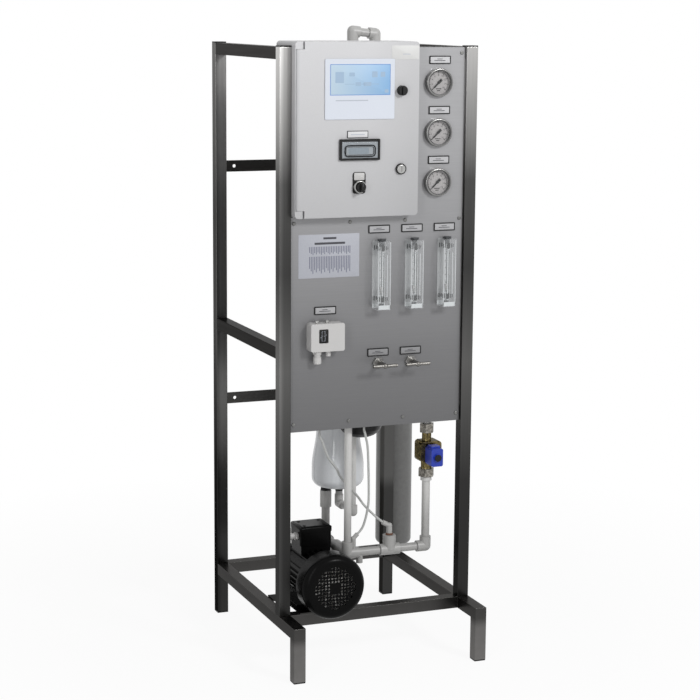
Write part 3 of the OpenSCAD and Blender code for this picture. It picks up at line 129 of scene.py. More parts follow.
# colour and roughness follow one noise pattern, whose grain size in mm is given along x, y and z
def addGrain(tree, shader, grain, colours, roughness, bump=0.0, paintedShades=None):
    place = addNode(tree, "ShaderNodeTexCoord")
    scale = [1000 / g for g in grain]
    stretch = addNode(tree, "ShaderNodeMapping", {"Scale": scale}, {"Vector": place.outputs["Object"]})
    noise = addNode(tree, "ShaderNodeTexNoise",
                    {"Scale": 1.0, "Detail": grainLook["detail"], "Roughness": grainLook["roughness"]},
                    {"Vector": stretch.outputs["Vector"]})
    ramp = addNode(tree, "ShaderNodeValToRGB", None, {"Fac": noise.outputs["Fac"]})
    ramp.color_ramp.elements[0].position = grainLook["darkBelow"]
    ramp.color_ramp.elements[1].position = grainLook["paleAbove"]
    ramp.color_ramp.elements[0].color = hexColour(colours[0])
    ramp.color_ramp.elements[1].color = hexColour(colours[1])
    tone = ramp.outputs["Color"]
    # each painted shade darkens the grain colour along its axis, where light and shade would fall
    for axis, paintedShade in (paintedShades or {}).items():
        tone = addPaintedShade(tree, tone, place, axis, paintedShade)
    tree.links.new(tone, shader.inputs["Base Color"])
    spread = addNode(tree, "ShaderNodeMapRange", {"To Min": roughness[0], "To Max": roughness[1]},
                     {"Value": noise.outputs["Fac"]})
    tree.links.new(spread.outputs["Result"], shader.inputs["Roughness"])
    if bump:
        relief = addNode(tree, "ShaderNodeBump", {"Strength": 1.0, "Distance": bump / 1000},
                         {"Height": noise.outputs["Fac"]})
        tree.links.new(relief.outputs["Normal"], shader.inputs["Normal"])
    return noise


# stainless steel tube, ground along its length: long soft streaks, drawn coarser than the real 0.1 mm grit,
# with painted light at the top and painted shade below; rightPaintedShade is the painted shade for what
# stands right of the frame's middle
def groundStainless(name, grain, colours, edgeTint, paintedShades=None, rightPaintedShade=None):
    tint = (edgeTint, edgeTint, edgeTint, 1)
    material, tree, shader = startMaterial(name, colours[0], 1.0, 0.3,
                                           {"Anisotropic": 0.4, "Specular Tint": tint})
    addGrain(tree, shader, grain, colours, (0.24, 0.36), 0.006, paintedShades)
    if rightPaintedShade:
        place = addNode(tree, "ShaderNodeTexCoord")
        parts = addNode(tree, "ShaderNodeSeparateXYZ", None, {"Vector": place.outputs["Object"]})
        right = addNode(tree, "ShaderNodeMath", {"operation": "GREATER_THAN", 1: 0.0},
                        {0: parts.outputs["X"]})
        flat = addNode(tree, "ShaderNodeRGB")
        flat.outputs[0].default_value = hexColour(colours[1])
        rightTone = addPaintedShade(tree, flat.outputs[0], place, "Z", rightPaintedShade)
        leftTone = shader.inputs["Base Color"].links[0].from_socket
        mix = addNode(tree, "ShaderNodeMix", {"data_type": "RGBA"},
                      {0: right.outputs[0], 6: leftTone, 7: rightTone})
        tree.links.new(mix.outputs[2], shader.inputs["Base Color"])
    return material


# stainless steel sheet with a satin finish: an even faint grain across that scatters most of the light, and
# painted shade that darkens it towards the bottom
def satinStainless():
    material, tree, shader = startMaterial("satinStainlessSheet", "#a7a7a9", 0.4, 0.42,
                                           {"Anisotropic": 0.3})
    addGrain(tree, shader, (90, 4, 1.5), ("#a7a7a9", "#acacae"), (0.4, 0.46), 0.0,
             {"Z": [(600, 0.34), (800, 0.44), (1110, 0.7), (1350, 0.84)]})
    return material


# steel sheet, powder coated: pale grey with a fine orange peel of about 1.5 mm, and painted shade that
# darkens it towards the bottom and the right
def powderCoat():
    material, tree, shader = startMaterial("powderCoatGrey", "#cacacc", 0.0, 0.45)
    addGrain(tree, shader, (1.5, 1.5, 1.5), ("#cacacc", "#cfcfd1"), (0.4, 0.5), 0.015,
             {"Z": [(1130, 0.69), (1350, 0.84), (1560, 0.95)], "X": [(-40, 1.0), (80, 0.88)]})
    return material


# moulded plastic, foil, card and ink: a fine grain, about 0.8 mm on mouldings, that breaks up the gloss
def mouldedPlastic(name, colours, roughness, grainSize=0.8, bump=0.015, more=None, paintedShades=None):
    material, tree, shader = startMaterial(name, colours[0], 0.0, roughness[0], more)
    addGrain(tree, shader, (grainSize,) * 3, colours, roughness, bump, paintedShades)
    return material


# polished stainless or chrome: clear reflections with faint wiping marks some 15 mm apart
def polishedMetal(name, colours, roughness):
    material, tree, shader = startMaterial(name, colours[0], 1.0, roughness[0])
    addGrain(tree, shader, (15, 15, 15), colours, roughness)
    return material


# cast brass, nickelled on its union nuts: mottled over about 5 mm in strong dark and pale patches, partly
# random tone and partly painted reflection; the bands are heights in mm
def nickelledBrass(bands):
    material, tree, shader = startMaterial("nickelledBrass", "#84764e", 1.0, 0.3,
                                           {"Specular Tint": (0.5, 0.5, 0.5, 1)})
    noise = addGrain(tree, shader, (5, 5, 5), ("#3c3627", "#84764e"), (0.16, 0.34), 0.05)
    brassTone = shader.inputs["Base Color"].links[0].from_socket
    nickel = addNode(tree, "ShaderNodeValToRGB", None, {"Fac": noise.outputs["Fac"]})
    nickel.color_ramp.elements[0].position = 0.38
    nickel.color_ramp.elements[1].position = 0.62
    nickel.color_ramp.elements[0].color = hexColour("#66635d")
    nickel.color_ramp.elements[1].color = hexColour("#9a968f")
    place = addNode(tree, "ShaderNodeTexCoord")
    parts = addNode(tree, "ShaderNodeSeparateXYZ", None, {"Vector": place.outputs["Object"]})
    under = addNode(tree, "ShaderNodeMath", {"operation": "LESS_THAN", 1: bands["lowNut"] / 1000},
                    {0: parts.outputs["Z"]})
    over = addNode(tree, "ShaderNodeMath", {"operation": "GREATER_THAN", 1: bands["highNut"] / 1000},
                   {0: parts.outputs["Z"]})
    either = addNode(tree, "ShaderNodeMath", {"operation": "MAXIMUM"},
                     {0: under.outputs[0], 1: over.outputs[0]})
    mix = addNode(tree, "ShaderNodeMix", {"data_type": "RGBA"},
                  {0: either.outputs[0], 6: brassTone, 7: nickel.outputs["Color"]})
    tree.links.new(mix.outputs[2], shader.inputs["Base Color"])
    return material


# motor enamel: black, sprayed, with a soft sheen and slight unevenness over 3 mm
def motorEnamel():
    material, tree, shader = startMaterial("motorEnamelBlack", "#080808", 0.0, 0.3,
                                           {"Specular IOR Level": 0.05})
    addGrain(tree, shader, (3, 3, 3), ("#080808", "#0d0d0d"), (0.2, 0.3), 0.01)
    return material


# cast acrylic block or pressed lens: light passes straight through, so that what lies behind stays bright
def seeThrough(name, colours, alpha):
    material, tree, shader = startMaterial(name, colours[0], 0.0, 0.08, {"Alpha": alpha, "IOR": 1.3})
    addGrain(tree, shader, (25, 25, 25), colours, (0.05, 0.1))
    return material


# polycarbonate sheet, hazed: a quarter of the light passes, and the rest scatters grey
def hazedSheet(name, colour):
    material, tree, shader = startMaterial(name, colour, 0.0, 0.06,
                                           {"Transmission Weight": 0.25, "IOR": 1.25})
    addGrain(tree, shader, (25, 25, 25), (colour, colour), (0.06, 0.1))
    return material


finishes = {
    # the five ground stainless finishes are lit and shaded copies of one steel: painted light and shade by
    # the piece's place, height and side
    "tubeFront": groundStainless("groundStainlessUpright", (3, 3, 160), ("#e6e5e3", "#f0efed"), 0.4,
                                 {"Z": [(300, 0.07), (450, 0.08), (760, 0.25), (1000, 0.11), (1220, 0.17),
                                        (1320, 0.45), (1550, 1.0)],
                                  "X": [(-258, 1.0), (-249, 0.58), (-231, 0.52), (235, 0.54)]}),
    "tubeRear": groundStainless("groundStainlessShaded", (3, 3, 160), ("#c8c7c5", "#d4d3d1"), 0.33,
                                {"Z": [(150, 0.07), (420, 0.15), (800, 0.46), (1100, 0.4), (1550, 1.0)],
                                 "X": [(-258, 0.43), (-249, 0.75)]},
                                [(150, 0.066), (310, 0.066), (345, 0.14), (620, 0.125)]),
    "tubeBase": groundStainless("groundStainlessBase", (30, 60, 30), ("#6b6a68", "#72706f"), 0.45,
                                {"Z": [(0, 1.0), (90, 0.9), (112, 0.4), (138, 0.36), (140, 0.9)]}),
    "tubeSide": groundStainless("groundStainlessDepth", (3, 160, 3), ("#454443", "#504f4e"), 0.42,
                                {"Z": [(820, 0.6), (1520, 1.0)]}),
    "tubeAlongX": groundStainless("groundStainlessCross", (160, 3, 3), ("#42413f", "#4d4c4b"), 0.5),
    "sheet": satinStainless(),
    "powder": powderCoat(),
    "blackPlastic": mouldedPlastic("polyamideBlack", ("#101010", "#181818"), (0.45, 0.6), 0.8, 0.015,
                                   {"Specular IOR Level": 0.25}),
    "darkPlastic": mouldedPlastic("polyamideDarkGrey", ("#2e3032", "#383a3d"), (0.35, 0.5)),
    "deviceWhite": mouldedPlastic("absOffWhite", ("#b8b7b6", "#bfbebd"), (0.4, 0.5)),
    "fascia": mouldedPlastic("polyesterFoilWhite", ("#cbd0da", "#d1d6df"), (0.3, 0.38), 1.2, 0.006),
    "paper": mouldedPlastic("paperWhite", ("#cfcfd1", "#d6d6d7"), (0.6, 0.75), 0.6, 0.01),
    # card inserts get painted shade, darker the lower they sit
    "labelPaper": mouldedPlastic("cardWhite", ("#cfcfd2", "#d6d6d8"), (0.6, 0.75), 0.6, 0.01, None,
                                 {"Z": [(780, 0.34), (907, 0.57), (1103, 0.6), (1515, 0.84)]}),
    "fanGrey": mouldedPlastic("polyamideFanGrey", ("#d9d9d5", "#e2e2de"), (0.5, 0.6), 2.0, 0.01),
    "printedSheet": mouldedPlastic("foilSheetBare", ("#a2a4ac", "#a9abb3"), (0.4, 0.5), 2.0, 0.006),
    "dialWhite": mouldedPlastic("enamelledDial", ("#9d9a9a", "#a4a1a1"), (0.5, 0.6), 1.0, 0.004),
    "markBlack": mouldedPlastic("printInkBlack", ("#0c0c0d", "#141415"), (0.5, 0.6), 0.5, 0.004,
                                {"Specular IOR Level": 0.15}),
    "chrome": polishedMetal("polishedStainless", ("#a9a9a8", "#b8b8b6"), (0.12, 0.22)),
    "steel": polishedMetal("turnedSteel", ("#8f8e8c", "#a3a2a0"), (0.25, 0.35)),
    # a darker copy of polished stainless: painted shade for the rims' dark reflections
    "rim": polishedMetal("pressedStainlessRim", ("#848483", "#949392"), (0.22, 0.3)),
    "screw": polishedMetal("zincPlatedScrew", ("#6f6f6e", "#7d7d7b"), (0.3, 0.4)),
    # a darker copy of turned steel: painted shade for the bars' dark reflections
    "barSteel": polishedMetal("turnedSteelDark", ("#6d6b68", "#7c7a77"), (0.34, 0.4)),
    "zinc": polishedMetal("galvanisedPlate", ("#8b8e90", "#a2a4a6"), (0.4, 0.55)),
    "rubber": mouldedPlastic("epdmRubber", ("#121212", "#1a1a1a"), (0.7, 0.8), 1.0, 0.02),
    "clear": seeThrough("castAcrylic", ("#e6eaec", "#edf0f2"), 0.14),
    "clearLens": seeThrough("polycarbonateLens", ("#eef0f0", "#f4f6f6"), 0.03),
    "clearWindow": hazedSheet("hazedPolycarbonate", "#a9afb4"),
    "brass": nickelledBrass({"lowNut": 477, "highNut": 571}),
    "motor": motorEnamel(),
    "vesselWhite": mouldedPlastic("polypropyleneWhite", ("#cccfd2", "#d2d4d7"), (0.1, 0.16), 6.0, 0.004),
    "housingBlack": mouldedPlastic("polypropyleneBlack", ("#0f0f10", "#181819"), (0.3, 0.42), 3.0, 0.02,
                                   {"Specular IOR Level": 0.2}),
    "vesselGrey": mouldedPlastic("woundGlassFibreGrey", ("#5f5f5e", "#686867"), (0.3, 0.42), 10.0, 0.02),
    "coil": mouldedPlastic("epoxyCoilBlue", ("#132c94", "#1936a4"), (0.3, 0.42), 1.5, 0.015),
    # pipes get painted shade, darkest low down near the base and a little darker high up
    "pipe": mouldedPlastic("polypropylenePipeWhite", ("#c6c6c4", "#cecdcb"), (0.32, 0.45), 8.0, 0.01, None,
                           {"Z": [(300, 0.55), (345, 0.62), (420, 0.88), (600, 0.95), (1600, 0.8)]}),
    "tube": mouldedPlastic("polyethyleneTube", ("#a9aaa8", "#b3b4b2"), (0.28, 0.36), 4.0, 0.0),
}
print("finishes made:", len(finishes))

# thin free tubes: the routes of the drawing, in mm, joined by a smooth line
tubeRoutes = {
    "sensingTube": {
        "node": "sensing_tube", "diameter": 6,
        "points": [(-135, 40, 780), (-136, 41, 700), (-138, 45, 595), (-128, 50, 568), (-107, 60, 521),
                   (-81, 72, 490), (-66, 78, 463), (-26, 75, 417), (-6, 65, 388), (18, 54, 362),
                   (38, 50, 344.5)]},
    "sampleTube": {
        "node": "sample_tube", "diameter": 6,
        "points": [(-14, 50, 738), (-17, 44, 690), (-21, 38, 604), (-16, 38, 577), (-9, 38, 537),
                   (-5.5, 38, 422), (-8, 41, 381), (-15, 46, 345), (-22, 49.5, 329), (-30.7, 50, 319.8)]},
}
tubeSteps = {"along": 4, "round": 4}


def smoothLine(points, steps):
    line = []
    last = len(points) - 1
    for i in range(last):
        a, b, c, d = (points[max(i - 1, 0)], points[i], points[i + 1], points[min(i + 2, last)])
        for k in range(steps):
            t = k / steps
            line.append(0.5 * (2 * b + (c - a) * t + (2 * a - 5 * b + 4 * c - d) * t * t
                               + (3 * b - a - 3 * c + d) * t ** 3))
    return line + [points[last]]


for name, tube in tubeRoutes.items():
    line = smoothLine([at(*point) for point in tube["points"]], tubeSteps["along"])
    curve = bpy.data.curves.new(name, "CURVE")
    curve.dimensions = "3D"
    curve.bevel_depth = tube["diameter"] / 2000
    curve.bevel_resolution = tubeSteps["round"]
    spline = curve.splines.new("POLY")
    spline.points.add(len(line) - 1)
    for point, place in zip(spline.points, line):
        point.co = (*place, 1)
    spline.use_smooth = True
    piece = bpy.data.objects.new(name, curve)
    bpy.context.scene.collection.objects.link(piece)
    curve.materials.append(finishes["tube"])
    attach(piece, "stand")
    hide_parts(tube["node"])
    length = sum((b - a).length for a, b in zip(line, line[1:]))
print("tubes laid:", len(tubeRoutes))

# finishes of the drawn pieces
dress = {
    "front_posts": "tubeFront", "rear_posts": "tubeRear", "base_frame": "tubeBase", "side_rails": "tubeSide",
    "panel_rails": "tubeAlongX", "rear_bars": "tubeAlongX", "vessel_brackets": "tubeAlongX",
    "pump_plate": "tubeSide", "tube_plugs": "blackPlastic", "front_panel": "sheet", "panel_screws": "screw",
    "label_holders": "blackPlastic", "cabinet_body": "powder", "cabinet_door": "powder",
    "door_seal": "rubber", "hinge_pins": "steel", "mounting_plate": "zinc", "control_gear": "deviceWhite",
    "controller": "fascia", "window_frame": "blackPlastic", "window_flap": "clearWindow",
    "selector_bezel": "blackPlastic", "selector_knob": "blackPlastic", "upper_lock": "blackPlastic",
    "lower_lock": "chrome", "gauge_cases": "rim", "gauge_dials": "dialWhite", "gauge_lenses": "clearLens",
    "upper_needle": "markBlack", "middle_needle": "markBlack", "lower_needle": "markBlack",
    "flowmeter_blocks": "clear", "flowmeter_fittings": "darkPlastic", "left_float": "steel",
    "middle_float": "steel", "right_float": "steel", "valve_bodies": "steel", "left_valve_handle": "barSteel",
    "right_valve_handle": "barSteel", "pressure_switch": "deviceWhite", "range_spindle": "chrome",
    "difference_spindle": "chrome", "cable_glands": "deviceWhite", "motor": "motor", "fan_cover": "motor",
    "terminal_box": "motor", "motor_rotor": "fanGrey", "pump": "steel", "filter_vessel": "vesselWhite",
    "cartridge_filter": "housingBlack", "membrane_vessel": "vesselGrey", "solenoid_valve": "brass",
    "solenoid_coil": "coil", "feed_riser": "pipe", "feed_manifold": "pipe", "vessel_pipes": "pipe",
    "return_pipe": "pipe", "permeate_line": "pipe",
}
for node, finish in dress.items():
    mesh = nodes[node].data
    mesh.materials.clear()
    mesh.materials.append(finishes[finish])
print("drawn pieces dressed:", len(dress))

# small round edges of the drawn pieces, in mm
softEdges = {"front_posts": 1.2, "rear_posts": 1.2, "base_frame": 1.2, "side_rails": 1.2, "rear_bars": 0.5,
             "terminal_box": 2.5, "solenoid_coil": 1.5, "controller": 0.8, "pressure_switch": 1.0,
             "window_frame": 0.6, "label_holders": 0.3, "solenoid_valve": 0.8, "pump": 1.0}
edgeLook = {"weldReach": 0.01, "segments": 2, "sharpFrom": 40}
for node, width in softEdges.items():
    weld = nodes[node].modifiers.new("joinedCorners", "WELD")
    weld.merge_threshold = edgeLook["weldReach"] / 1000
    edge = nodes[node].modifiers.new("roundEdge", "BEVEL")
    edge.width = width / 1000
    edge.segments = edgeLook["segments"]
    edge.limit_method = "ANGLE"
    edge.angle_limit = math.radians(edgeLook["sharpFrom"])
    edge.harden_normals = True
print("edges rounded:", len(softEdges))

# steps in a quarter round corner, and the angle in degrees below which faces shade as one
cornerSteps = 4
smoothBelow = 35


# turns drawn geometry into a piece with its finish, the body that it rides on and its material slot
def finishPiece(name, shape, finish, body, smooth=True):
    mesh = bpy.data.meshes.new(name)
    bmesh.ops.recalc_face_normals(shape, faces=shape.faces)
    shape.to_mesh(mesh)
    shape.free()
    piece = bpy.data.objects.new(name, mesh)
    bpy.context.scene.collection.objects.link(piece)
    mesh.materials.append(finishes[finish])
    if smooth:
        mesh.shade_smooth()
        mesh.set_sharp_from_angle(angle=math.radians(smoothBelow))
    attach(piece, body)


# outline of a rectangle with round corners about x and z, drawn in by the inset
def roundOutline(x, z, width, height, corner, inset=0.0):
    outline = []
    reach = corner - inset
    for sideX, sideZ, start in ((1, 1, 0), (-1, 1, 90), (-1, -1, 180), (1, -1, 270)):
        for step in range(cornerSteps + 1):
            angle = math.radians(start + 90 * step / cornerSteps)
            outline.append((x + sideX * (width / 2 - corner) + reach * math.cos(angle),
                            z + sideZ * (height / 2 - corner) + reach * math.sin(angle)))
    return outline


# adds a plate with round corners that faces the viewer; x and z are its middle, y its back
def addPlate(shape, x, y, z, width, height, thick, corner, edge=0.0):
    outline = roundOutline(x, z, width, height, corner)
    back = [shape.verts.new(at(px, y, pz)) for px, pz in outline]
    front = [shape.verts.new(at(px, y - thick, pz)) for px, pz in outline]
    count = len(outline)
    shape.faces.new(back[::-1])
    top = shape.faces.new(front)
    for i in range(count):
        shape.faces.new((back[i], back[(i + 1) % count], front[(i + 1) % count], front[i]))
    if edge:
        bmesh.ops.bevel(shape, geom=list(top.edges), offset=edge / 1000, segments=2, affect="EDGES",
                        profile=0.5)


# makes a piece of one such plate
def makePlate(name, look, finish, body, smooth=True):
    shape = bmesh.new()
    addPlate(shape, look["x"], look["y"], look["z"], look["width"], look["height"], look["thick"],
             look["corner"], look.get("edge", 0.0))
    finishPiece(name, shape, finish, body, smooth)


# adds a flat ring with round corners that faces the viewer
def addOutline(shape, x, y, z, width, height, corner, band, thick):
    loops = []
    for inset in (0, band):
        outline = roundOutline(x, z, width, height, corner, inset)
        for depth in (0, thick):
            loops.append([shape.verts.new(at(px, y - depth, pz)) for px, pz in outline])
    count = len(loops[0])
    for a, b in ((0, 1), (1, 3), (3, 2), (2, 0)):
        for i in range(count):
            k = (i + 1) % count
            shape.faces.new((loops[a][i], loops[a][k], loops[b][k], loops[b][i]))


# adds a flat bar in the plane that faces the viewer, turned about its middle
def addMark(shape, x, y, z, length, width, thick, angle):
    along = Vector((math.cos(angle), math.sin(angle)))
    across = Vector((-along.y, along.x))
    corners = []
    for u, v in ((-1, -1), (1, -1), (1, 1), (-1, 1)):
        corners.append(along * (u * length / 2) + across * (v * width / 2))
    back = [shape.verts.new(at(x + c.x, y, z + c.y)) for c in corners]
    front = [shape.verts.new(at(x + c.x, y - thick, z + c.y)) for c in corners]
    shape.faces.new(front)
    shape.faces.new(back[::-1])
    for i in range(4):
        shape.faces.new((back[i], back[(i + 1) % 4], front[(i + 1) % 4], front[i]))


# adds a plain number as a flat mesh that faces the viewer
def addNumber(shape, word, x, y, z, size):
    text = bpy.data.curves.new("number", "FONT")
    text.body = word
    text.size = size / 1000
    text.align_x = "CENTER"
    text.align_y = "CENTER"
    text.resolution_u = 3
    holder = bpy.data.objects.new("number", text)
    mesh = holder.to_mesh()
    mesh.transform(Matrix.Translation(at(x, y, z)) @ Matrix.Rotation(math.radians(90), 4, "X"))
    shape.from_mesh(mesh)
    holder.to_mesh_clear()
    bpy.data.objects.remove(holder)
    bpy.data.curves.remove(text)


# adds a turned ring or cap about an axis that points to the viewer, or upright;
# the profile lists radius and height in mm
def addTurned(shape, x, y, z, profile, steps=48, upright=False):
    rings = []
    for radius, height in profile:
        ring = []
        for k in range(steps):
            angle = 2 * math.pi * k / steps
            side, rise = radius * math.cos(angle), radius * math.sin(angle)
            place = at(x + side, y + rise, z + height) if upright else at(x + side, y - height, z + rise)
            ring.append(shape.verts.new(place))
        rings.append(ring)
    for a, b in zip(rings, rings[1:]):
        for k in range(steps):
            shape.faces.new((a[k], a[(k + 1) % steps], b[(k + 1) % steps], b[k]))
    return rings


# faces that prints and stickers lie on, and the thickness of a print, in mm
panelFront = 10
doorFront = -25
printThick = 0.06

# white card inserts in the label holders
labelInserts = {"width": 52, "height": 15, "y": 8.3, "thick": 0.6, "corner": 0.8, "edge": 0.2,
                "spots": [(161, 1515), (161, 1392.5), (161, 1270), (3.5, 1103), (91.5, 1103),
                          (179.5, 1103), (3.5, 795), (91.5, 795), (-138, 907)]}
shape = bmesh.new()
for x, z in labelInserts["spots"]:
    addPlate(shape, x, labelInserts["y"], z, labelInserts["width"], labelInserts["height"],
             labelInserts["thick"], labelInserts["corner"], labelInserts["edge"])
finishPiece("labelInserts", shape, "labelPaper", "stand")

# two plain rules on each insert: rise and length
finishes["inkGrey"] = mouldedPlastic("printInkMidGrey", ("#34343a", "#3d3d43"), (0.5, 0.6), 0.8, 0.0)
labelRules = {"side": -1, "height": 1.6, "rows": ((2.2, 14), (-1.6, 30))}
labelFront = labelInserts["y"] - labelInserts["thick"]
shape = bmesh.new()
for x, z in labelInserts["spots"]:
    for rise, length in labelRules["rows"]:
        addMark(shape, x + labelRules["side"], labelFront, z + rise, length, labelRules["height"],
                printThick, 0)
finishPiece("labelRules", shape, "inkGrey", "stand", False)

# sheet stuck on the panel's left half
panelSheet = {"x": -128.3, "y": panelFront, "z": 1041.5, "width": 159.5, "height": 107, "thick": 0.4,
              "corner": 1.5, "edge": 0.15}
makePlate("panelSheet", panelSheet, "printedSheet", "stand")

# plain heading bars and blocks of thin upright bars on the sheet: drop from its top, width and height
finishes["inkPale"] = mouldedPlastic("printInkPale", ("#5e6072", "#686a7b"), (0.5, 0.6), 0.8, 0.0)
sheetBlocks = {"side": 2, "pitch": 4.4, "barWidth": 2.0, "shortest": 0.7,
               "headings": ((10, 34, 5.0), (22.5, 80, 5.4)), "bars": ((30, 112, 20), (54, 112, 42))}
sheetFront = panelFront - panelSheet["thick"]
sheetTop = panelSheet["z"] + panelSheet["height"] / 2
sheetMiddle = panelSheet["x"] + sheetBlocks["side"]
shape = bmesh.new()
for drop, width, height in sheetBlocks["headings"]:
    addMark(shape, sheetMiddle, sheetFront, sheetTop - drop, width, height, printThick, 0)
finishPiece("sheetHeadings", shape, "inkGrey", "stand", False)
shape = bmesh.new()
for drop, width, height in sheetBlocks["bars"]:
    count = int(width / sheetBlocks["pitch"])
    for i in range(count):
        uneven = (7 * i) % 5 / 4
        tall = height * (sheetBlocks["shortest"] + (1 - sheetBlocks["shortest"]) * uneven)
        addMark(shape, sheetMiddle + (i - (count - 1) / 2) * sheetBlocks["pitch"], sheetFront,
                sheetTop - drop - tall / 2, sheetBlocks["barWidth"], tall, printThick, 0)
finishPiece("sheetBars", shape, "inkPale", "stand", False)

# tag at the top of the cabinet door
finishes["tagWhite"] = mouldedPlastic("vinylWhite", ("#c8c8c7", "#cececd"), (0.4, 0.5), 1.0, 0.004)
doorTag = {"x": 54, "y": doorFront, "z": 1534, "width": 72, "height": 33.5, "thick": 0.5, "corner": 1.0,
           "edge": 0.15}
makePlate("doorTag", doorTag, "tagWhite", "door")

# framed label over the breaker window
doorLabel = {"x": -69.6, "y": doorFront, "z": 1338.5, "width": 55, "height": 18, "thick": 1.2, "corner": 1.0,
             "edge": 0.2}
makePlate("doorLabelFrame", doorLabel, "darkPlastic", "door")
doorInsert = {"x": doorLabel["x"], "y": -26.1, "z": doorLabel["z"], "width": 51, "height": 14, "thick": 0.5,
              "corner": 0.8, "edge": 0.15}
makePlate("doorLabelInsert", doorInsert, "paper", "door")

# plain rules on the label and the tag
finishes["foilRule"] = mouldedPlastic("printInkGrey", ("#a9aeb9", "#b1b6c0"), (0.4, 0.5), 0.8, 0.0)
doorRules = [{"x": doorLabel["x"], "y": doorInsert["y"] - doorInsert["thick"], "z": doorLabel["z"],
              "length": 36, "height": 1.8},
             {"x": 57, "y": doorFront - doorTag["thick"], "z": 1530, "length": 20, "height": 1.6}]
shape = bmesh.new()
for rule in doorRules:
    addMark(shape, rule["x"], rule["y"], rule["z"], rule["length"], rule["height"], printThick, 0)
finishPiece("doorRules", shape, "foilRule", "door", False)
print("labels fitted")

# dial print: a scale from lower left to lower right with plain numbers, and two plain bars below the middle
dialPrint = {"x": 157, "heights": (1460, 1337.5, 1215), "y": 6.8, "thick": 0.05, "radius": 27,
             "start": 225, "sweep": 270, "numbers": 9, "between": 5, "long": (5, 1.6), "short": (2.6, 0.8),
             "numberIn": 9, "numberSize": 6.6, "numberLift": 0.04, "arcSteps": 60, "arcWidth": 0.35,
             "bars": ((15.5, 15), (20, 9)), "barHeight": 2.2}


def dialSpot(z, reach, angle):
    return dialPrint["x"] + reach * math.cos(angle), z + reach * math.sin(angle)


for name, z in zip(("upperDialPrint", "middleDialPrint", "lowerDialPrint"), dialPrint["heights"]):
    shape = bmesh.new()
    radius = dialPrint["radius"]
    count = (dialPrint["numbers"] - 1) * dialPrint["between"]
    for i in range(count + 1):
        angle = math.radians(dialPrint["start"] - dialPrint["sweep"] * i / count)
        numbered = i % dialPrint["between"] == 0
        length, width = dialPrint["long"] if numbered else dialPrint["short"]
        markX, markZ = dialSpot(z, radius - length / 2, angle)
        addMark(shape, markX, dialPrint["y"], markZ, length, width, dialPrint["thick"], angle)
        if numbered:
            numberX, numberZ = dialSpot(z, radius - dialPrint["numberIn"], angle)
            addNumber(shape, str(2 * i // dialPrint["between"]), numberX,
                      dialPrint["y"] - dialPrint["numberLift"], numberZ, dialPrint["numberSize"])
    arcStep = math.radians(dialPrint["sweep"]) / dialPrint["arcSteps"]
    for i in range(dialPrint["arcSteps"]):
        angle = math.radians(dialPrint["start"]) - arcStep * (i + 0.5)
        arcX, arcZ = dialSpot(z, radius, angle)
        addMark(shape, arcX, dialPrint["y"], arcZ, radius * arcStep, dialPrint["arcWidth"],
                dialPrint["thick"], angle + math.pi / 2)
    for drop, length in dialPrint["bars"]:
        addMark(shape, dialPrint["x"], dialPrint["y"], z - drop, length, dialPrint["barHeight"],
                dialPrint["thick"], 0)
    finishPiece(name, shape, "markBlack", "stand", False)

# dark ring between each gauge's rim and lens: painted shade standing in for the rim's dark reflection
finishes["bezelShade"] = mouldedPlastic("bezelShadeGrey", ("#3a3a3b", "#444445"), (0.4, 0.5), 1.0, 0.004)
gaugeBezelShade = {"y": -2.5, "profile": [(28.9, 0), (28.9, 0.5), (31.3, 0.9), (31.3, 0)]}
shape = bmesh.new()
for z in dialPrint["heights"]:
    addTurned(shape, dialPrint["x"], gaugeBezelShade["y"], z, gaugeBezelShade["profile"])
finishPiece("gaugeBezelShades", shape, "bezelShade", "stand")

# broad tail and nose on each needle: reach from the axis, and width
needleTrim = {"y": 4.25, "thick": 0.35, "lean": 45, "bars": ((10.5, 6.6), (-18, 3.8))}
for name, z in zip(("upper", "middle", "lower"), dialPrint["heights"]):
    shape = bmesh.new()
    lean = math.radians(needleTrim["lean"])
    for reach, width in needleTrim["bars"]:
        markX, markZ = dialSpot(z, reach / 2, lean)
        addMark(shape, markX, needleTrim["y"], markZ, abs(reach), width, needleTrim["thick"], lean)
    finishPiece(name + "NeedleTail", shape, "markBlack", name + "_needle_body", False)

# scale print on the front of each flowmeter, with plain numbers
flowPrint = {"columns": (3.5, 91.5, 179.5), "y": -28, "low": 952, "high": 1040, "steps": 20, "between": 4,
             "left": -8, "long": 6, "short": 3.4, "markHeight": 0.5, "numberSide": -12, "numberSize": 5.0,
             "numberLift": 0.05}
for name, x in zip(("leftFlowPrint", "middleFlowPrint", "rightFlowPrint"), flowPrint["columns"]):
    shape = bmesh.new()
    for i in range(flowPrint["steps"] + 1):
        z = flowPrint["low"] + (flowPrint["high"] - flowPrint["low"]) * i / flowPrint["steps"]
        numbered = i % flowPrint["between"] == 0
        length = flowPrint["long"] if numbered else flowPrint["short"]
        addMark(shape, x + flowPrint["left"] + length / 2, flowPrint["y"], z, length,
                flowPrint["markHeight"], printThick, 0)
        if numbered:
            addNumber(shape, str(1 + i // flowPrint["between"]), x + flowPrint["numberSide"],
                      flowPrint["y"] - flowPrint["numberLift"], z, flowPrint["numberSize"])
    finishPiece(name, shape, "markBlack", "stand", False)
print("scales printed")

# pale film on the back of each flowmeter
finishes["film"] = mouldedPlastic("polyesterFilmWhite", ("#a4a6a7", "#acaeaf"), (0.5, 0.6), 2.0, 0.0)
flowFilm = {"y": 9.6, "width": 34.6, "low": 906.2, "high": 1074.8, "thick": 0.2, "corner": 1.0}
flowMiddle = (flowFilm["low"] + flowFilm["high"]) / 2
shape = bmesh.new()
for x in flowPrint["columns"]:
    addPlate(shape, x, flowFilm["y"], flowMiddle, flowFilm["width"], flowFilm["high"] - flowFilm["low"],
             flowFilm["thick"], flowFilm["corner"])
finishPiece("flowFilms", shape, "film", "stand")
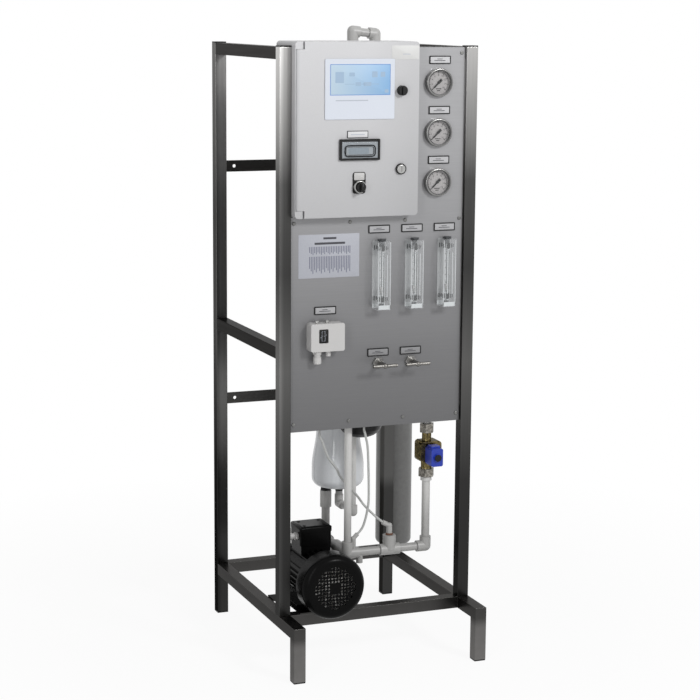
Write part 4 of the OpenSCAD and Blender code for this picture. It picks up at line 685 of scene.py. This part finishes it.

# dark marks at two depths in each block, painted shade where the port mouths and seal grooves look dark
# through the acrylic, as side, rise, width and height, and a rod
flowMarks = {"ports": (931.5, 1058), "near": -16.4, "far": 5, "thick": 0.2, "roundShare": 0.45,
             "nearSpots": ((1, 0, 8.5, 16), (-8, 0.5, 2.8, 12), (-12.5, 0, 2.4, 11), (9, 0, 2.2, 10),
                           (13.2, 0, 1.8, 8)),
             "farSpots": ((-13.5, 0, 2.6, 12), (-7.5, 0.5, 2.4, 10)),
             "rod": {"side": 3.2, "width": 1.2, "height": 112, "corner": 0.4}}
shape = bmesh.new()
rod = flowMarks["rod"]
for x in flowPrint["columns"]:
    for z in flowMarks["ports"]:
        for depth in ("near", "far"):
            for side, rise, width, height in flowMarks[depth + "Spots"]:
                addPlate(shape, x + side, flowMarks[depth], z + rise, width, height, flowMarks["thick"],
                         width * flowMarks["roundShare"])
    addPlate(shape, x + rod["side"], flowMarks["near"], flowMiddle, rod["width"], rod["height"],
             flowMarks["thick"], rod["corner"])
finishPiece("flowPortShades", shape, "blackPlastic", "stand", False)

# painted highlights, in a cloudy white, on the edges, stripes and foot of each block where the acrylic
# refracts light: side, width and height of each stripe
finishes["acrylicGlint"] = mouldedPlastic("acrylicEdgeHighlight", ("#c2c6c8", "#cbcfd0"), (0.4, 0.5), 2.0, 0.0)
flowHighlights = {"front": -28, "rear": 9.3, "thick": 0.08, "roundShare": 0.4,
             "stripes": ((-15.8, 1.2, 166), (15.8, 1.2, 166), (-5.5, 1.3, 104), (7.5, 1.3, 104)),
             "foot": {"rise": 1, "width": 33, "height": 10.5, "corner": 2.0}}
shape = bmesh.new()
foot = flowHighlights["foot"]
footMiddle = flowFilm["low"] + foot["height"] / 2 + foot["rise"]
for x in flowPrint["columns"]:
    for side, width, height in flowHighlights["stripes"]:
        addPlate(shape, x + side, flowHighlights["front"], flowMiddle, width, height, flowHighlights["thick"],
                 width * flowHighlights["roundShare"])
    for y in (flowHighlights["front"], flowHighlights["rear"]):
        addPlate(shape, x, y, footMiddle, foot["width"], foot["height"], flowHighlights["thick"], foot["corner"])
finishPiece("flowHighlights", shape, "acrylicGlint", "stand", False)
print("flowmeters lined")

# black nipples under the white vessel
nipples = {"edge": 0.6, "steps": 32,
           "rings": [{"x": -41, "y": 250, "z": 388.2, "radius": 13.4, "length": 9.6},
                     {"x": -3.5, "y": 250, "z": 384, "radius": 10.2, "length": 13.8}]}
shape = bmesh.new()
edge = nipples["edge"]
for ring in nipples["rings"]:
    radius = ring["radius"]
    length = ring["length"]
    profile = [(radius - edge, 0), (radius, edge), (radius, length - edge), (radius - edge, length)]
    addTurned(shape, ring["x"], ring["y"], ring["z"], profile, nipples["steps"], True)
finishPiece("vesselNipples", shape, "blackPlastic", "stand")

# brown fibre seal on the feed tee
finishes["sealBrown"] = mouldedPlastic("fibreSealBrown", ("#5a3a2a", "#6a4735"), (0.6, 0.7), 0.8, 0.01)
teeSeal = {"x": 57, "y": 50, "z": 309.5, "steps": 32, "profile": [(7.6, 0), (9.4, 0.5), (9.4, 4.5), (7.6, 5)]}
shape = bmesh.new()
addTurned(shape, teeSeal["x"], teeSeal["y"], teeSeal["z"], teeSeal["profile"], teeSeal["steps"], True)
finishPiece("teeSeal", shape, "sealBrown", "stand")
print("pipe joints sealed")

# lit display of the controller, with a blue edge
displayGlass = {"x": -64.1, "y": -27.4, "z": 1469.5, "width": 156, "height": 74, "edgeThick": 0.25,
                "edgeCorner": 0.8, "border": 3, "lift": 0.2, "thick": 0.3, "corner": 0.6, "edge": 0.1,
                "leftColour": "#b4c6d3", "rightColour": "#80a8ce", "glow": 0.06}


# liquid crystal display, lit from behind: even pale blue, deeper to the right, hardly glossy
def litDisplay(look):
    material, tree, shader = startMaterial("liquidCrystalBlue", look["leftColour"], 0.0, 0.4,
                                           {"Specular IOR Level": 0.3, "Emission Strength": look["glow"]})
    place = addNode(tree, "ShaderNodeTexCoord")
    parts = addNode(tree, "ShaderNodeSeparateXYZ", None, {"Vector": place.outputs["Object"]})
    left = at(look["x"] - look["width"] / 2, 0, 0).x
    right = at(look["x"] + look["width"] / 2, 0, 0).x
    reach = addNode(tree, "ShaderNodeMapRange", {"From Min": left, "From Max": right},
                    {"Value": parts.outputs["X"]})
    ramp = addNode(tree, "ShaderNodeValToRGB", None, {"Fac": reach.outputs["Result"]})
    ramp.color_ramp.elements[0].color = hexColour(look["leftColour"])
    ramp.color_ramp.elements[1].color = hexColour(look["rightColour"])
    tree.links.new(ramp.outputs["Color"], shader.inputs["Base Color"])
    tree.links.new(ramp.outputs["Color"], shader.inputs["Emission Color"])
    return material


finishes["display"] = litDisplay(displayGlass)
finishes["displayEdge"] = mouldedPlastic("polyesterFoilBlue", ("#5b86c4", "#6a93cd"), (0.3, 0.4), 1.2, 0.006)
shape = bmesh.new()
addPlate(shape, displayGlass["x"], displayGlass["y"], displayGlass["z"], displayGlass["width"],
         displayGlass["height"], displayGlass["edgeThick"], displayGlass["edgeCorner"])
finishPiece("displayEdge", shape, "displayEdge", "door")
shape = bmesh.new()
addPlate(shape, displayGlass["x"], displayGlass["y"] - displayGlass["lift"], displayGlass["z"],
         displayGlass["width"] - displayGlass["border"], displayGlass["height"] - displayGlass["border"],
         displayGlass["thick"], displayGlass["corner"], displayGlass["edge"])
finishPiece("displayGlass", shape, "display", "door")

# plain fields on the display, as x, z, width and height, and lines between them, as x, z and length
finishes["displayMark"] = mouldedPlastic("liquidCrystalDarkBlue", ("#97aec6", "#9eb4ca"), (0.2, 0.3), 1.2,
                                         0.0)
displayPrint = {"lift": 0.48, "thick": 0.08, "corner": 1.2, "lineHeight": 1.2,
                "fields": [(-118, 1475, 22, 26), (-46, 1459, 20, 9), (-27, 1482, 14, 14), (-6, 1482, 12, 12),
                           (-70, 1459, 14, 9), (4, 1442, 10, 8), (-86, 1482, 14, 9)],
                "lines": [(-92, 1459, 26), (-58, 1459, 10), (-26, 1459, 20)]}
displayFront = displayGlass["y"] - displayPrint["lift"]
shape = bmesh.new()
for x, z, width, height in displayPrint["fields"]:
    addPlate(shape, x, displayFront, z, width, height, displayPrint["thick"], displayPrint["corner"])
for x, z, length in displayPrint["lines"]:
    addMark(shape, x, displayFront, z, length, displayPrint["lineHeight"], displayPrint["thick"], 0)
finishPiece("displayFields", shape, "displayMark", "door", False)

# plain rule on the foil under the display
foilRule = {"x": -86, "y": -28, "z": 1420, "length": 84, "height": 2.6}
shape = bmesh.new()
addMark(shape, foilRule["x"], foilRule["y"], foilRule["z"], foilRule["length"], foilRule["height"],
        printThick, 0)
finishPiece("foilRule", shape, "foilRule", "door", False)

# dark outlines on the raised ring of the window flap and inside it, painted shade along the ring's edges: y,
# width, height, corner and band
flapShadeLines = {"x": -65, "z": 1299, "thick": 0.12, "rings": ((-32.5, 81, 29, 9, 3.0), (-30, 75, 23, 6, 2.4))}
shape = bmesh.new()
for y, width, height, corner, band in flapShadeLines["rings"]:
    addOutline(shape, flapShadeLines["x"], y, flapShadeLines["z"], width, height, corner, band, flapShadeLines["thick"])
finishPiece("flapShadeLines", shape, "markBlack", "window_flap_body", False)

# grey field inside the ring
finishes["flapField"] = mouldedPlastic("polycarbonateGreyBlue", ("#808a91", "#88929a"), (0.15, 0.25), 3.0,
                                       0.0)
flapField = {"x": -68, "y": -30, "z": 1299, "width": 54, "height": 15, "thick": 0.12, "corner": 4}
makePlate("flapField", flapField, "flapField", "window_flap_body", False)

# black rim round the lower lock
lowerLockRim = {"x": 44, "y": -25.4, "z": 1253,
                "profile": [(11.2, 0), (13.4, 0.4), (13.4, 4.8), (12.6, 5.6), (11.2, 5.4)]}
shape = bmesh.new()
addTurned(shape, lowerLockRim["x"], lowerLockRim["y"], lowerLockRim["z"], lowerLockRim["profile"])
finishPiece("lowerLockRim", shape, "blackPlastic", "lower_lock_body")

# dark cap on the coil's nut
coilCap = {"x": 161, "y": -16.6, "z": 516.5, "steps": 32, "profile": [(9.2, 0), (9.2, 1.6), (8.6, 2.2)]}
shape = bmesh.new()
rings = addTurned(shape, coilCap["x"], coilCap["y"], coilCap["z"], coilCap["profile"], coilCap["steps"])
shape.faces.new(rings[-1])
finishPiece("coilCap", shape, "blackPlastic", "stand")

# selector: plated ring round the knob, pale legend insert and a pointer line
selectorRing = {"x": -65, "y": -27, "z": 1212,
                "profile": [(14.6, 0), (15.4, 0.6), (15.4, 7.4), (14.6, 8.6), (13.3, 9.1), (13.2, 8.2),
                            (13.9, 0)]}
shape = bmesh.new()
addTurned(shape, selectorRing["x"], selectorRing["y"], selectorRing["z"], selectorRing["profile"])
finishPiece("selectorRing", shape, "chrome", "door")
selectorLegend = {"x": -65, "y": -27, "z": 1237.2, "width": 27, "height": 17.5, "thick": 0.5, "corner": 2.0,
                  "edge": 0.15}
makePlate("selectorLegend", selectorLegend, "deviceWhite", "door")
selectorPointer = {"x": -65, "y": -53.2, "z": 1218, "width": 1.6, "height": 8, "thick": 0.15, "corner": 0.6}
makePlate("selectorPointer", selectorPointer, "inkGrey", "selector_knob_body")

# black scale window of the pressure switch
switchScale = {"x": -153, "y": -19.8, "z": 848, "width": 24.4, "height": 34.4, "thick": 0.6, "corner": 2.8,
               "edge": 0.15}
makePlate("switchScalePlate", switchScale, "blackPlastic", "stand")

# two rows of plain marks in it, with a pointer beside each
switchMarks = {"span": 24, "steps": 14, "between": 7, "side": 5, "long": 3.6, "short": 2.0, "height": 0.5,
               "pointer": {"side": 6.6, "rise": 3, "length": 2.4, "height": 1.0, "thick": 0.1}}
switchFront = switchScale["y"] - switchScale["thick"]
pointer = switchMarks["pointer"]
shape = bmesh.new()
for side in (-1, 1):
    for i in range(switchMarks["steps"] + 1):
        z = switchScale["z"] + switchMarks["span"] * (i / switchMarks["steps"] - 0.5)
        length = switchMarks["long"] if i % switchMarks["between"] == 0 else switchMarks["short"]
        addMark(shape, switchScale["x"] + side * (switchMarks["side"] - length / 2), switchFront, z, length,
                switchMarks["height"], printThick, 0)
    addMark(shape, switchScale["x"] + side * pointer["side"], switchFront,
            switchScale["z"] + side * pointer["rise"], pointer["length"], pointer["height"],
            pointer["thick"], 0)
finishPiece("switchScaleMarks", shape, "foilRule", "stand", False)
print("controls trimmed")

# floor, light and background: places in mm, lamp sizes and floor distances in m
stageLook = {"floor": "#f4f4f4", "floorReach": 14, "worldLight": 0.43, "lampAim": (0, 200, 800),
             "whiteShare": 0.92, "whiteFrom": 0.7, "whiteTo": 1.8,
             "lamps": {"keyLamp": {"place": (1600, -3600, 3100), "size": (0.8, 0.8), "power": 99},
                       "fillLamp": {"place": (-2600, -2600, 1700), "size": (0.5, 2.4), "power": 26},
                       "topLamp": {"place": (0, 200, 4200), "size": (3.0, 3.0), "power": 6}}}


# one where a ray sees or mirrors the background, with the given share for direct sight
def addSeen(tree, path, direct):
    mirrored = addNode(tree, "ShaderNodeMath", {"operation": "MAXIMUM"},
                       {0: path.outputs["Is Glossy Ray"], 1: path.outputs["Is Transmission Ray"]})
    seen = addNode(tree, "ShaderNodeMath", {"operation": "MAXIMUM"}, {0: direct, 1: mirrored.outputs[0]})
    return seen.outputs[0]


# paper floor that keeps the shadow near the object and turns white further off
def makeFloor(look):
    floor = bpy.data.objects.new("floor", bpy.data.meshes.new("floor"))
    shape = bmesh.new()
    bmesh.ops.create_grid(shape, x_segments=1, y_segments=1, size=look["floorReach"])
    shape.to_mesh(floor.data)
    shape.free()
    bpy.context.scene.collection.objects.link(floor)
    material, tree, shader = startMaterial("paperBackdrop", look["floor"], 0.0, 0.9)
    path = addNode(tree, "ShaderNodeLightPath")
    place = addNode(tree, "ShaderNodeTexCoord")
    away = addNode(tree, "ShaderNodeVectorMath", {"operation": "LENGTH"}, {0: place.outputs["Object"]})
    share = addNode(tree, "ShaderNodeMapRange",
                    {"From Min": look["whiteFrom"], "From Max": look["whiteTo"],
                     "To Min": look["whiteShare"], "To Max": 1.0},
                    {"Value": away.outputs["Value"]})
    direct = addNode(tree, "ShaderNodeMath", {"operation": "MULTIPLY"},
                     {0: path.outputs["Is Camera Ray"], 1: share.outputs["Result"]})
    glow = addNode(tree, "ShaderNodeEmission", {"Color": (1, 1, 1, 1), "Strength": 1.0})
    mix = addNode(tree, "ShaderNodeMixShader", None,
                  {0: addSeen(tree, path, direct.outputs[0]), 1: shader.outputs[0], 2: glow.outputs[0]})
    tree.links.new(mix.outputs[0], tree.nodes["Material Output"].inputs["Surface"])
    floor.data.materials.append(material)


# white all round to the eye and in reflections, but a plain soft light on the object
def makeWorld(look):
    world = bpy.data.worlds.new("studio")
    bpy.context.scene.world = world
    world.use_nodes = True
    tree = world.node_tree
    path = addNode(tree, "ShaderNodeLightPath")
    strength = addNode(tree, "ShaderNodeMix", {"data_type": "FLOAT", "A": look["worldLight"], "B": 1.0},
                       {"Factor": addSeen(tree, path, path.outputs["Is Camera Ray"])})
    back = tree.nodes["Background"]
    back.inputs["Color"].default_value = (1, 1, 1, 1)
    tree.links.new(strength.outputs[0], back.inputs["Strength"])


def makeLamps(look):
    for name, lampLook in look["lamps"].items():
        lamp = bpy.data.objects.new(name, bpy.data.lights.new(name, "AREA"))
        lamp.data.shape = "RECTANGLE"
        lamp.data.size, lamp.data.size_y = lampLook["size"]
        lamp.data.energy = lampLook["power"]
        lamp.location = at(*lampLook["place"])
        lamp.rotation_euler = (at(*look["lampAim"]) - lamp.location).to_track_quat("-Z", "Y").to_euler()
        bpy.context.scene.collection.objects.link(lamp)


makeFloor(stageLook)
makeWorld(stageLook)
makeLamps(stageLook)
bpy.context.scene.view_settings.view_transform = "Standard"
print("stage set")
